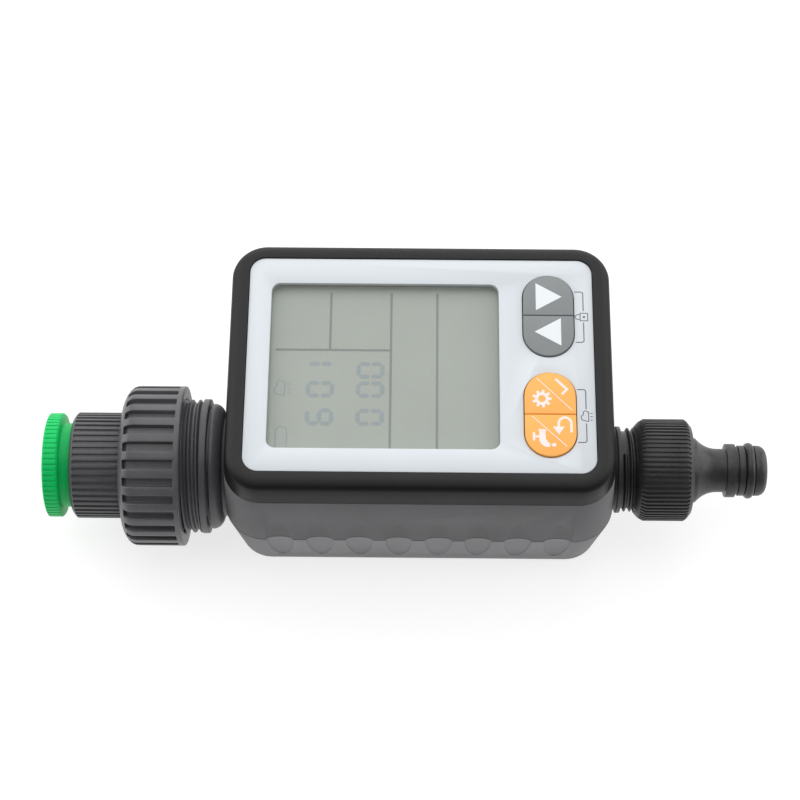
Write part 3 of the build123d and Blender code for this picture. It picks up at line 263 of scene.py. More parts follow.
class Finish(Enum):
    """Every finish of the timer."""

    GREEN = Moulded("green_moulding", (0.001, 0.54, 0.127), 0.42, 0.08, 0.1, 0.0, 2500, specular=0.22)
    PIPE = Moulded("black_pipe_moulding", (0.018, 0.018, 0.0202), 0.4, 0.22, 0.16, 0.03, 3500, 0.00003)
    SLEEVE = Moulded("black_sleeve_moulding", (0.07, 0.07, 0.0755), 0.42, 0.2, 0.16, 0.03, 3500, 0.00003)
    NUT = Moulded("black_nut_moulding", (0.085, 0.085, 0.091), 0.36, 0.22, 0.16, 0.03, 3500, 0.00003)
    # the bezel gets a painted highlight, a lighter grey, on its faces that look up
    BEZEL = Moulded("bezel_moulding", (0.006, 0.006, 0.0066), 0.36, 0.1, 0.1, 0.004, 6500, 0.00003,
                    specular=0.07, top_highlight=0.06)
    SHELL = Moulded("grey_shell_moulding", (0.13, 0.13, 0.136), 0.6, 0.08, 0.1, 0.02, 6500, 0.00003,
                    specular=0.3)
    COVER = Moulded("grey_cover_moulding", (0.215, 0.215, 0.223), 0.6, 0.08, 0.1, 0.02, 6500, 0.00003,
                    specular=0.3)
    PANEL = Moulded("white_panel", (0.655, 0.695, 0.73), 0.34, 0.01, 0.05, 0.0, 3000, 0.000004, coat=0.15)
    PANEL_EDGE = Moulded("panel_print", (0.1, 0.12, 0.14), 0.4, 0.03, grain_depth=0.0)
    GREY_KEY = Moulded("grey_key_rubber", (0.22, 0.235, 0.24), 0.55, 0.05, 0.1, 0.01, 5000, 0.000015)
    ORANGE_KEY = Moulded("orange_key_rubber", (0.98, 0.45, 0.1), 0.55, 0.03, 0.1, 0.0, 5000, 0.000015)
    KEY_PRINT = Moulded("light_key_print", (0.78, 0.82, 0.84), 0.5, 0.02, grain_depth=0.0)
    WARM_PRINT = Moulded("warm_key_print", (0.95, 0.8, 0.78), 0.5, 0.02, grain_depth=0.0)
    LCD = Moulded("liquid_crystal", (0.3, 0.334, 0.288), 0.35, 0.03, 0.05, 0.0, 9000, 0.000003)
    LCD_MARK = Moulded("liquid_crystal_on", (0.215, 0.262, 0.268), 0.4, 0.04, grain_depth=0.0)
    LCD_LINE = Moulded("liquid_crystal_line", (0.14, 0.155, 0.15), 0.4, 0.04, grain_depth=0.0)
    LENS = Moulded("clear_lens", (0.9, 0.93, 0.93), 0.06, 0.0, 0.0, 0.0, grain_depth=0.0, alpha=0.06)
    SEAL = Moulded("black_seal_rubber", (0.012, 0.012, 0.013), 0.35, 0.1, 0.15, 0.02, 2500, 0.00001)
    STEEL = Moulded("zinc_steel", (0.55, 0.55, 0.54), 0.32, 0.08, 0.2, 0.0, 2500, 0.00001, 1.0)
    BRASS = Moulded("turned_brass", (0.72, 0.52, 0.24), 0.28, 0.08, 0.2, 0.0, 2500, 0.00001, 1.0)
    NATURAL = Moulded("natural_plastic", (0.7, 0.69, 0.62), 0.45, 0.06)
    WHITE = Moulded("waxy_white", (0.8, 0.8, 0.77), 0.5, 0.03)
    BOARD = Moulded("solder_mask", (0.015, 0.16, 0.06), 0.3, 0.12)
    CELL = Moulded("cell_sleeve", (0.04, 0.07, 0.14), 0.25, 0.06, coat=0.3)

    def material(self) -> bpy.types.Material:
        """The node material of this finish."""
        return self.value.material()


# ---- mesh tools ---------------------------------------------------------------------------
def arc(centre: Point, radius: float, start: float, end: float, steps: int) -> list[Point]:
    """Points along an arc, angles in degrees."""
    angles = [math.radians(start + (end - start) * i / steps) for i in range(steps + 1)]
    return [(centre[0] + radius * math.cos(a), centre[1] + radius * math.sin(a)) for a in angles]


def profile_edges(bm: BMesh, outline: Sequence[Point]) -> list:
    """Lay a closed (x, radius) outline in the XZ plane and return its edges."""
    verts = [bm.verts.new((x, 0, r)) for x, r in outline]
    return [bm.edges.new((verts[i], verts[(i + 1) % len(verts)])) for i in range(len(verts))]


def lathe(outline: Sequence[Point], steps: int) -> BMesh:
    """Spin a closed (x, radius) outline a full turn about the pipe axis."""
    bm = bmesh.new()
    edges = profile_edges(bm, outline)
    geometry = list(bm.verts) + edges
    bmesh.ops.spin(bm, geom=geometry, cent=(0, 0, 0), axis=(1, 0, 0), dvec=(0, 0, 0),
                   angle=2 * math.pi, steps=steps, use_merge=True)
    bmesh.ops.remove_doubles(bm, verts=bm.verts, dist=WELD)
    bmesh.ops.recalc_face_normals(bm, faces=bm.faces)
    return bm


def cut_grooves(bm: BMesh, start: float, end: float, radius: float, depth: float,
                count: int, wide: int = 2, parts: int = 4) -> None:
    """Push slots into the outside of a turned mesh.

    Args:
        bm: Turned mesh with count * parts faces round the axis.
        start: X where the slots start.
        end: X where they end.
        radius: Radius of the surface that is slotted.
        depth: Depth of a slot.
        count: Number of slots.
        wide: Faces across a slot.
        parts: Faces per pitch.
    """
    chosen = []
    for face in bm.faces:
        centre = face.calc_center_median()
        if not start < centre.x < end or math.hypot(centre.y, centre.z) < radius - 1.2:
            continue
        if abs(face.normal.x) > 0.7 or face.normal.y * centre.y + face.normal.z * centre.z < 0:
            continue
        turn = (math.atan2(centre.y, centre.z) / (2 * math.pi)) % 1.0
        if int(turn * count * parts) % parts < wide:
            chosen.append(face)
    grown = bmesh.ops.extrude_face_region(bm, geom=chosen)
    for vert in (item for item in grown["geom"] if isinstance(item, BMVert)):
        length = math.hypot(vert.co.y, vert.co.z)
        share = (length - depth) / length
        vert.co.y *= share
        vert.co.z *= share
    bmesh.ops.delete(bm, geom=chosen, context="FACES")
    bmesh.ops.recalc_face_normals(bm, faces=bm.faces)


def boundary(bm: BMesh) -> list:
    """The open edges of a mesh."""
    return [edge for edge in bm.edges if edge.is_boundary]


def ridge(outline: Sequence[Point], pitch: float, turns: float, round_steps: int) -> BMesh:
    """Sweep a closed (x, radius) outline along a right-hand helix and cap its ends.

    Args:
        outline: Section of the ridge where it starts.
        pitch: Advance along +X in one turn.
        turns: Number of turns.
        round_steps: Steps in one turn.

    Returns:
        The mesh.
    """
    bm = bmesh.new()
    edges = profile_edges(bm, outline)
    steps = int(turns * round_steps)
    bmesh.ops.spin(bm, geom=list(bm.verts) + edges, cent=(0, 0, 0), axis=(1, 0, 0),
                   dvec=(pitch * turns / steps, 0, 0), angle=2 * math.pi * turns, steps=steps)
    bmesh.ops.remove_doubles(bm, verts=bm.verts, dist=WELD)
    bmesh.ops.holes_fill(bm, edges=boundary(bm), sides=0)
    bmesh.ops.recalc_face_normals(bm, faces=bm.faces)
    return bm


def helix(start: float, turns: float, pitch: float, root: float, crest: float) -> BMesh:
    """Helical ridge of a male thread, running along +X from start."""
    half = 0.42 * pitch
    tip = 0.09 * pitch
    outline = [(start - half, root - 0.2), (start + half, root - 0.2), (start + tip, crest),
               (start - tip, crest)]
    return ridge(outline, pitch, turns, 72)


def rounded_loop(bm: BMesh, size: Outline, z: float, centre: Point,
                 segments: int = 12) -> list:
    """Lay a rectangle with round corners at height z and return its edges.

    Args:
        bm: Mesh to add it to.
        size: Length along X, width along Y and corner radius.
        z: Height of the loop.
        centre: Centre of the loop.
        segments: Edges round each corner.

    Returns:
        The edges of the loop.
    """
    length, width, radius = size
    place = Matrix.Translation((centre[0], centre[1], z)) @ Matrix.Diagonal((length, width, 1, 1))
    corners = bmesh.ops.create_grid(bm, x_segments=1, y_segments=1, size=0.5, matrix=place)["verts"]
    bmesh.ops.bevel(bm, geom=corners, offset=radius, offset_type="OFFSET", affect="VERTICES",
                    segments=segments, profile=0.5, material=-1)
    face = next(iter(bm.faces))
    loop = list(face.edges)
    bmesh.ops.delete(bm, geom=[face], context="FACES_ONLY")
    return loop


def shell_from(rings: Sequence[tuple[Outline, float]], centre: Point,
               closed: bool = True) -> BMesh:
    """Bridge rounded outlines in turn into one shell.

    Args:
        rings: Outline size and height of each ring, in order along the surface.
        centre: Centre of every ring.
        closed: Whether the last ring joins the first; otherwise both ends are capped.

    Returns:
        The mesh.
    """
    bm = bmesh.new()
    loops = [rounded_loop(bm, size, z, centre) for size, z in rings]
    pairs = list(zip(loops, loops[1:]))
    if closed:
        pairs.append((loops[-1], loops[0]))
    for first, second in pairs:
        bmesh.ops.bridge_loops(bm, edges=first + second)
    if not closed:
        bmesh.ops.holes_fill(bm, edges=loops[0], sides=0)
        bmesh.ops.holes_fill(bm, edges=loops[-1], sides=0)
    bmesh.ops.recalc_face_normals(bm, faces=bm.faces)
    return bm


def inset(size: Outline, amount: float) -> Outline:
    """An outline moved inwards."""
    return size[0] - 2 * amount, size[1] - 2 * amount, max(size[2] - amount, 0.4)


def plate(size: Outline, low: float, high: float, centre: Point) -> BMesh:
    """Flat plate with round corners."""
    return shell_from([(size, low), (size, high)], centre, closed=False)


def rod(start: Vector, end: Vector, radius: float, segments: int = 48) -> BMesh:
    """Plain round rod between two points."""
    bm = bmesh.new()
    axis = end - start
    turn = axis.to_track_quat("Z", "Y").to_matrix().to_4x4()
    place = Matrix.Translation((start + end) / 2) @ turn
    bmesh.ops.create_cone(bm, cap_ends=True, segments=segments, radius1=radius, radius2=radius,
                          depth=axis.length, matrix=place)
    return bm


def prism(outline: Sequence[Point], low: float, high: float) -> BMesh:
    """Flat closed shape raised from low to high."""
    bm = bmesh.new()
    face = bm.faces.new([bm.verts.new((x, y, low)) for x, y in outline])
    grown = bmesh.ops.extrude_face_region(bm, geom=[face], use_keep_orig=True)
    lifted = [item for item in grown["geom"] if isinstance(item, BMVert)]
    bmesh.ops.translate(bm, vec=(0, 0, high - low), verts=lifted)
    bmesh.ops.recalc_face_normals(bm, faces=bm.faces)
    return bm


def box_middle(node: str) -> Point:
    """Middle of a node's box, seen from above, in millimetres."""
    low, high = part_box(node)
    return (low.x + high.x) / 2 / MM, (low.y + high.y) / 2 / MM


def box_size(node: str) -> Point:
    """Length and width of a node's box in millimetres."""
    low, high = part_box(node)
    return (high.x - low.x) / MM, (high.y - low.y) / MM


def box_heights(node: str) -> Point:
    """Lowest and highest Z of a node's box in millimetres."""
    low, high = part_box(node)
    return low.z / MM, high.z / MM


def to_object(bm: BMesh, name: str) -> Object:
    """Turn a mesh in millimetres into a linked object, still in millimetres."""
    mesh = bpy.data.meshes.new(name)
    bm.to_mesh(mesh)
    bm.free()
    made = bpy.data.objects.new(name, mesh)
    bpy.context.scene.collection.objects.link(made)
    return made


def join(name: str, parts: Sequence[BMesh]) -> Object:
    """Put several meshes into one object."""
    whole = bmesh.new()
    for part in parts:
        scratch = bpy.data.meshes.new("scratch")
        part.to_mesh(scratch)
        part.free()
        whole.from_mesh(scratch)
        bpy.data.meshes.remove(scratch)
    return to_object(whole, name)


def apply_modifiers(piece: Object) -> None:
    """Replace the mesh by what its modifiers make of it."""
    graph = bpy.context.evaluated_depsgraph_get()
    mesh = bpy.data.meshes.new_from_object(piece.evaluated_get(graph))
    piece.modifiers.clear()
    piece.data = mesh


def carve(piece: Object, cutters: Sequence[BMesh]) -> None:
    """Take the cutters out of a piece with exact booleans."""
    for index, cutter in enumerate(cutters):
        tool = to_object(cutter, f"{piece.name}_cutter_{index}")
        boolean = piece.modifiers.new("cut", "BOOLEAN")
        boolean.operation = "DIFFERENCE"
        boolean.solver = "EXACT"
        boolean.object = tool
        bpy.context.view_layer.update()
        apply_modifiers(piece)
        bpy.data.objects.remove(tool)


def round_edges(piece: Object, width: float, segments: int = 2, angle: float = 35) -> None:
    """Round every edge sharper than angle by width millimetres."""
    bevel = piece.modifiers.new("round", "BEVEL")
    bevel.width = width
    bevel.segments = segments
    bevel.limit_method = "ANGLE"
    bevel.angle_limit = math.radians(angle)
    bevel.miter_outer = "MITER_ARC"
    bevel.use_clamp_overlap = True
    bpy.context.view_layer.update()
    apply_modifiers(piece)


def finish_piece(piece: Object, finish: Finish, body: str,
                 replaced: Sequence[str] = (), smooth: float = 38) -> Object:
    """Scale a piece to metres, dress it and hang it on its body.

    Args:
        piece: Object in millimetres.
        finish: Its finish.
        body: Body it rides on.
        replaced: Nodes that it stands for.
        smooth: Edges flatter than this angle are shaded smooth.

    Returns:
        The piece.
    """
    mesh = piece.data
    mesh.transform(Matrix.Scale(MM, 4))
    mesh.shade_smooth()
    mesh.set_sharp_from_angle(angle=math.radians(smooth))
    mesh.materials.clear()
    mesh.materials.append(finish.material())
    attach(piece, body)
    if replaced:
        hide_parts(*replaced)
    LOG.info("%s: %d faces on %s", piece.name, len(mesh.polygons), body)
    return piece


# ---- inlet --------------------------------------------------------------------------------
@dataclass
class Inlet:
    """Reducer bush, ribbed tailpiece, union nut and the threaded inlet stub."""

    bush_r: float = 16.3
    bush_end: float = 4.9
    bush_bore_r: float = 9.3
    hose_r: float = 13.2
    hose_pitch: float = 1.814
    sleeve_start: float = 8.3
    sleeve_r: float = 16.6
    nut_start: float = 24.0
    nut_end: float = 43.35
    nut_r: float = 25.1
    union_r: float = 20.95
    union_pitch: float = 2.309
    thread_depth: float = 1.1
    flange_start: float = 48.9
    collar_start: float = 51.9
    collar_r: float = 19.7
    neck_r: float = 15.6

    def bush(self) -> None:
        """Green G3/4 to G1/2 bush with a serrated collar and a real helical thread."""
        r, bore, end = self.bush_r, self.bush_bore_r, self.bush_end
        thread_end = self.sleeve_start + 7 * self.hose_pitch
        root = self.hose_r - self.thread_depth
        neck_end = self.sleeve_start + 0.6
        outline = [(0.5, bore + 0.9), (0.0, bore + 1.4), (0.0, r - 1.3), (0.25, r - 0.9),
                   (0.25, r - 0.5), (0.55, r), (end - 0.6, r), (end - 0.1, r - 0.45), (end, r - 0.9),
                   (end, self.hose_r - 0.05),
                   (neck_end, self.hose_r - 0.05), (neck_end, root), (thread_end - 0.6, root),
                   (thread_end, root - 0.5), (thread_end, bore), (2.0, bore)]
        body = lathe(outline, 60 * 4)
        cut_grooves(body, 0.9, end - 0.2, r, 0.22, 60, 1)
        thread = helix(self.sleeve_start + 1.2, 5.0, self.hose_pitch, root, self.hose_r)
        inner = self.inner_thread(2.4, thread_end - 2, bore)
        piece = join("reducer_bush_moulding", [body, thread, inner])
        round_edges(piece, 0.12, 2, 50)
        finish_piece(piece, Finish.GREEN, "reducer_bush", ["reducer_bush"])

    def inner_thread(self, start: float, end: float, radius: float) -> BMesh:
        """Helical ridge standing inwards from a bore."""
        pitch = self.hose_pitch
        foot, tip = 0.4 * pitch, 0.08 * pitch
        outline = [(start - foot, radius + 0.2), (start + foot, radius + 0.2),
                   (start + tip, radius - 0.55), (start - tip, radius - 0.55)]
        return ridge(outline, pitch, (end - start) / pitch, 64)

    def tailpiece(self) -> None:
        """Ribbed sleeve that the bush screws into."""
        low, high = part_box("tailpiece")
        end = high.x / MM
        start, r, bore = self.sleeve_start, self.sleeve_r, self.hose_r + 0.08
        collar = high.z / MM
        outline = [(start + 0.7, bore), (start, bore + 0.7), (start, r - 1.5), (start + 0.35, r - 0.9),
                   (start + 1.2, r), (self.nut_start + 0.7, r), (self.nut_start + 0.8, r - 1.2),
                   (end - 3, r - 1.2), (end - 3, collar), (end, collar), (end, bore - 2.6),
                   (end - 3.4, bore - 2.6),
                   (end - 3.4, bore - 4.2), (end - 4.8, bore - 4.2), (end - 4.8, bore)]
        body = lathe(outline, 48 * 4)
        cut_grooves(body, start + 1.0, self.nut_start + 0.6, r, 0.55, 48)
        piece = to_object(body, "tailpiece_moulding")
        round_edges(piece, 0.12, 2, 45)
        finish_piece(piece, Finish.SLEEVE, "tailpiece", ["tailpiece"])

    def union_nut(self) -> None:
        """Big slotted nut with a round shoulder and a plain band at its open end."""
        start, end, r = self.nut_start, self.nut_end, self.nut_r
        neck = self.sleeve_r + 0.3
        bore = self.union_r + 0.1
        shoulder = [(start + 4.7 + 4.7 * math.cos(math.radians(a)), neck + 1.3 + (r - neck - 1.3)
                     * math.sin(math.radians(a))) for a in (170, 155, 140, 125, 110, 98)]
        outline = [(start, neck), (start, neck + 0.9)] + shoulder
        outline += [(start + 5.2, r), (end - 1.85, r), (end - 0.35, r), (end, r - 0.35),
                    (end, bore + 0.6), (end - 0.6, bore), (start + 6.6, bore), (start + 6.6, neck - 1.1),
                    (start + 1.3, neck - 1.1), (start + 1.3, neck)]
        body = lathe(outline, 28 * 6)
        cut_grooves(body, start + 1.6, end - 1.8, r - 2.5, 1.75, 28, 3, 6)
        piece = to_object(body, "union_nut_moulding")
        round_edges(piece, 0.3, 3, 40)
        finish_piece(piece, Finish.NUT, "union_nut", ["union_nut"])

    def stub(self) -> None:
        """Inlet stub: helical thread, plain flange and quarter-round collar."""
        low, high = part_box("inlet_fitting")
        start, end = low.x / MM, high.x / MM
        root = self.union_r - self.thread_depth
        drop = self.collar_r - self.neck_r
        flange_end = self.flange_start + 2
        quarter = [(self.collar_start + 3.6 * math.sin(math.radians(a)),
                    self.collar_r - drop * (1 - math.cos(math.radians(a)))) for a in range(0, 91, 15)]
        outline = [(start, 9.9), (start, root - 0.8), (start + 0.8, root), (self.flange_start, root),
                   (self.flange_start, self.union_r + 0.15), (flange_end, self.union_r + 0.15),
                   (flange_end, self.collar_r - 1.7), (self.collar_start, self.collar_r - 1.7)] + quarter
        outline += [(61.0, self.neck_r), (61.0, 12.6), (end, 12.6), (end, 9.9)]
        thread = helix(start + 2.2, 6.2, self.union_pitch, root, self.union_r)
        piece = join("inlet_stub_moulding", [lathe(outline, 128), thread])
        round_edges(piece, 0.18, 2, 40)
        finish_piece(piece, Finish.SLEEVE, "housing", ["inlet_fitting"])

    def build(self) -> None:
        """Build every piece of the inlet."""
        self.bush()
        self.tailpiece()
        self.union_nut()
        self.stub()


# ---- outlet -------------------------------------------------------------------------------
@dataclass
class Outlet:
    """Threaded outlet stub and the screw-on quick-connect spigot."""

    shoulder_start: float = 177.85
    shoulder_r: float = 13.6
    shoulder_t: float = 1.3
    stub_reach: float = 2.5
    pipe_r: float = 12.6
    pipe_bore_r: float = 8.0
    hose_r: float = 13.2
    hose_pitch: float = 1.814
    thread_depth: float = 1.1
    grip_start: float = 183.8
    grip_end: float = 201.3
    grip_r: float = 16.0
    neck_r: float = 6.8
    collar_start: float = 212.3
    collar_r: float = 8.4
    land_r: float = 7.9
    groove_start: float = 218.1
    ring_t: float = 2.9
    ring_r: float = 8.8
    bore_r: float = 4.2

    def casting(self, source: Object) -> None:
        """Valve casting up to the face where the stub begins.

        Args:
            source: The frame's own valve body.
        """
        bm = bmesh.new()
        bm.from_mesh(source.data)
        bm.transform(source.matrix_world)
        bmesh.ops.remove_doubles(bm, verts=bm.verts, dist=0.01 * MM)
        geometry = list(bm.verts) + list(bm.edges) + list(bm.faces)
        end = (self.shoulder_start - self.stub_reach) * MM
        bmesh.ops.bisect_plane(bm, geom=geometry, plane_co=(end, 0, 0), plane_no=(1, 0, 0),
                               clear_outer=True)
        bmesh.ops.bridge_loops(bm, edges=boundary(bm))
        bm.transform(Matrix.Scale(1 / MM, 4))
        finish_piece(to_object(bm, "valve_casting"), Finish.PIPE, "housing", ["valve_body"])

    def stub(self) -> None:
        """Outlet stub with its shoulder ring and helical thread."""
        root = self.hose_r - self.thread_depth
        end = self.grip_start + 6 * self.hose_pitch
        start = self.shoulder_start
        face, shoulder_end = start - self.stub_reach, start + self.shoulder_t
        outline = [(face, self.pipe_bore_r), (face, self.pipe_r), (start, self.pipe_r),
                   (start, self.shoulder_r), (shoulder_end, self.shoulder_r), (shoulder_end, root),
                   (end - 0.7, root), (end, root - 0.7), (end, self.pipe_bore_r)]
        thread = helix(shoulder_end + 1.0, 7.8, self.hose_pitch, root, self.hose_r)
        piece = join("outlet_stub_moulding", [lathe(outline, 128), thread])
        round_edges(piece, 0.15, 2, 40)
        finish_piece(piece, Finish.PIPE, "housing")

    def connector(self) -> None:
        """Ribbed hose connector with its tapered neck, collar, lands and tip."""
        low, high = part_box("hose_connector")
        tip = high.x / MM
        r, start, end = self.grip_r, self.grip_start, self.grip_end
        bore = self.hose_r + 0.08
        sweep = [(end + 1.7 + 7.3 * t / 8, self.neck_r + 3.2 * (1 - t / 8) ** 2.4) for t in range(9)]
        land, neck, groove = self.land_r, self.neck_r, self.ring_r - self.ring_t
        outline = [(start + 0.5, bore), (start, bore + 0.5), (start, r - 2.7), (start + 0.4, r - 1.9),
                   (start + 1.3, r - 0.9), (start + 2.9, r), (end - 2.1, r), (end - 1.3, r - 0.5),
                   (end, r - 2.1), (end, 10.5), (end + 0.2, 10.3), (end + 1.6, 10.1)] + sweep
        collar_end = self.collar_start + 2.95
        land_start, groove_end = self.groove_start - 1.9, self.groove_start + self.ring_t + 0.2
        outline += [(self.collar_start, neck), (self.collar_start, self.collar_r),
                    (collar_end, self.collar_r), (collar_end, neck), (land_start, neck),
                    (land_start, land), (self.groove_start, land), (self.groove_start, groove),
                    (groove_end, groove), (groove_end, land), (tip - 2.7, land)]
        outline += arc((tip - 2.7, land - 2.6), 2.6, 75, 15, 4)
        outline += [(tip, self.bore_r + 0.7), (tip, self.bore_r), (start + 12.9, self.bore_r),
                    (start + 12.9, bore)]
        body = lathe(outline, 64 * 4)
        cut_grooves(body, start + 1.4, end - 1.4, r - 0.6, 0.45, 64)
        piece = to_object(body, "hose_connector_moulding")
        round_edges(piece, 0.12, 2, 40)
        finish_piece(piece, Finish.PIPE, "hose_connector", ["hose_connector"])

    def o_ring(self) -> None:
        """Rubber ring in the spigot's groove."""
        half = self.ring_t / 2
        centre = (self.groove_start + 0.1 + half, self.ring_r - half)
        piece = to_object(lathe(arc(centre, half, 0, 345, 23), 96), "spigot_ring")
        finish_piece(piece, Finish.SEAL, "hose_connector", ["spigot_o_ring"])

    def build(self, nodes: dict[str, Object]) -> None:
        """Build every piece of the outlet."""
        self.casting(nodes["valve_body"])
        self.stub()
        self.connector()
        self.o_ring()


# ---- housing ------------------------------------------------------------------------------
@dataclass
class Housing:
    """Bezel, mid shell, bottom cover and battery door."""

    wall: float = 2.4
    rim_round: float = 3.6
    rim_draft: float = 0.6
    crease_r: float = 11.5
    seam_r: float = 12.6
    bottom_r: float = 10.5
    bottom_round: float = 3.0
    taper_end: float = 3.4
    taper_side: float = 4.0
    dimples: int = 8
    dimple_pitch: float = 12.3
    dimple_width: float = 8.3
    dimple_depth: float = 1.1
    dimple_top: float = 11.6
    dimple_bottom: float = -20.0
    seam_gap: float = 0.22
    panel_corner: float = 4.8
    pocket_gap: float = 0.3
    pocket_corner: float = 4.95
    ledge: float = 1.5
    inlet_pipe_r: float = 15.6
    outlet_pipe_r: float = 12.6
    screw_head_r: float = 2.7
    screw_recess_r: float = 2.9
    near_screw_shift: float = 13.45
    door_gap: float = 0.7
    door_ribs: int = 5
    door_rib_pitch: float = 1.6
    door_rib: Outline = (16, 0.8, 0.39)

    def __post_init__(self) -> None:
        """Read the outlines from the frame."""
        self.centre = box_middle("front_bezel")
        self.crease_z, self.rim_z = box_heights("front_bezel")
        self.crease = (*box_size("front_bezel"), self.crease_r)
        self.bottom_z = box_heights("bottom_cover")[0]
        self.seam = (*box_size("bottom_cover"), self.seam_r)
        self.panel = (*box_size("face_panel"), self.panel_corner)
        self.panel_low = box_heights("face_panel")[0]

    def scoops(self, height: float, lean: float) -> list[BMesh]:
        """Long oval cutters that press the dimples into both long sides.

        Args:
            height: Z where the dimples run out; negative below the seam.
            lean: How far the wall leans in per unit of height.

        Returns:
            One cutter per dimple.
        """
        shape = Matrix.Diagonal((self.dimple_width / 2, self.dimple_depth, abs(height), 1))
        cutters = []
        for side in (-1, 1):
            y = self.centre[1] + side * self.seam[1] / 2
            tilt = Matrix.Rotation(side * math.copysign(math.atan(lean), height), 4, "X")
            for index in range(self.dimples):
                x = self.centre[0] + (index - (self.dimples - 1) / 2) * self.dimple_pitch
                bm = bmesh.new()
                bmesh.ops.create_uvsphere(bm, u_segments=96, v_segments=48, radius=1,
                                          matrix=Matrix.Translation((x, y, 0)) @ tilt @ shape)
                cutters.append(bm)
        return cutters

    def bezel(self) -> None:
        """Front frame: near upright sides, a soft shoulder and a flat rim round the panel."""
        rim = inset(self.crease, self.rim_draft)
        rings = [(self.crease, self.crease_z), (rim, self.rim_z - self.rim_round)]
        for step in range(1, 9):
            angle = math.radians(90 * step / 8)
            rings.append((inset(rim, self.rim_round * (1 - math.cos(angle))),
                          self.rim_z - self.rim_round * (1 - math.sin(angle))))
        pocket = (self.panel[0] + self.pocket_gap, self.panel[1] + self.pocket_gap, self.pocket_corner)
        deck, inside = inset(pocket, self.ledge), inset(self.crease, self.wall)
        rings += [(pocket, self.rim_z), (pocket, self.panel_low), (deck, self.panel_low - 0.05),
                  (deck, self.panel_low - 2), (inside, self.panel_low - 2), (inside, self.crease_z)]
        piece = to_object(shell_from(rings, self.centre), "bezel_moulding")
        round_edges(piece, 0.18, 2, 50)
        finish_piece(piece, Finish.BEZEL, "housing", ["front_bezel"])

    def pipe_holes(self, gap: float = 0.3) -> list[BMesh]:
        """Cutters for the two pipes."""
        x, half = self.centre[0], self.seam[0]
        return [rod(Vector((x - half, 0, 0)), Vector((x, 0, 0)), self.inlet_pipe_r + gap, 96),
                rod(Vector((x, 0, 0)), Vector((x + half, 0, 0)), self.outlet_pipe_r + gap, 96)]

    def mid_shell(self) -> None:
        """Flared grey shell with dimples in its long sides."""
        low = self.seam_gap
        rings = [(self.seam, low), (self.crease, self.crease_z - 0.02),
                 (inset(self.crease, self.wall), self.crease_z - 0.02), (inset(self.seam, self.wall), low)]
        piece = to_object(shell_from(rings, self.centre), "mid_shell_moulding")
        lean = (self.seam[1] - self.crease[1]) / 2 / self.crease_z
        carve(piece, self.pipe_holes() + self.scoops(self.dimple_top, lean))
        round_edges(piece, 0.07, 2, 28)
        finish_piece(piece, Finish.SHELL, "housing", ["mid_shell"])

    def bottom_cover(self) -> None:
        """Tapered cover with the battery opening and the screw recesses."""
        floor = (self.seam[0] - 2 * self.taper_end, self.seam[1] - 2 * self.taper_side, self.bottom_r)
        rings = [(self.seam, -self.seam_gap)]
        share = 1 - self.bottom_round / -self.bottom_z
        start = (self.seam[0] - 2 * self.taper_end * share,
                 self.seam[1] - 2 * self.taper_side * share, self.bottom_r)
        for step in range(7):
            angle = math.radians(90 * step / 6)
            rings.append((inset(start, self.bottom_round * (1 - math.cos(angle))),
                          self.bottom_z + self.bottom_round * (1 - math.sin(angle))))
        solid = to_object(shell_from(rings, self.centre, closed=False), "bottom_cover_moulding")
        hollow = shell_from([(inset(floor, self.wall), self.bottom_z + self.wall),
                             (inset(self.seam, self.wall), 1.0)], self.centre, closed=False)
        length, width = box_size("battery_door")
        door = (length + self.door_gap, width + self.door_gap, 0.6)
        recess = plate(door, self.bottom_z - 2, self.bottom_z + self.wall + 2, box_middle("battery_door"))
        screws = []
        for x, y in self.screw_places():
            low, high = Vector((x, y, self.bottom_z - 2)), Vector((x, y, self.bottom_z + 4))
            screws.append(rod(low, high, self.screw_recess_r, 40))
        lean = self.taper_side / -self.bottom_z
        carve(solid, [hollow, recess] + screws + self.pipe_holes() + self.scoops(self.dimple_bottom, lean))
        round_edges(solid, 0.07, 2, 28)
        finish_piece(solid, Finish.COVER, "housing", ["bottom_cover"])

    def screw_places(self) -> list[Point]:
        """Centres of the four case screws, read from the frame."""
        low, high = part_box("case_screws")
        head = self.screw_head_r
        far_x = (low.x / MM + head, high.x / MM - head)
        near_x = (far_x[0] + self.near_screw_shift, far_x[1] - self.near_screw_shift)
        return [(x, high.y / MM - head) for x in far_x] + [(x, low.y / MM + head) for x in near_x]

    def battery_door(self) -> None:
        """Battery door with finger ribs."""
        low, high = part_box("battery_door")
        size = (*box_size("battery_door"), 0.5)
        middle = box_middle("battery_door")
        piece = to_object(plate(size, low.z / MM, high.z / MM, middle), "battery_door_moulding")
        grooves = []
        for index in range(self.door_ribs):
            y = low.y / MM + 4 + self.door_rib_pitch * index
            grooves.append(plate(self.door_rib, low.z / MM - 1, low.z / MM + 0.5, (middle[0], y)))
        carve(piece, grooves)
        round_edges(piece, 0.2, 2, 40)
        finish_piece(piece, Finish.COVER, "battery_door", ["battery_door"])

    def build(self) -> None:
        """Build the housing."""
        self.bezel()
        self.mid_shell()
        self.bottom_cover()
        self.battery_door()


# ---- face ---------------------------------------------------------------------------------
SEGMENTS = {"0": "abcdef", "1": "bc", "6": "acdefg"}    # lit segments of each figure shown


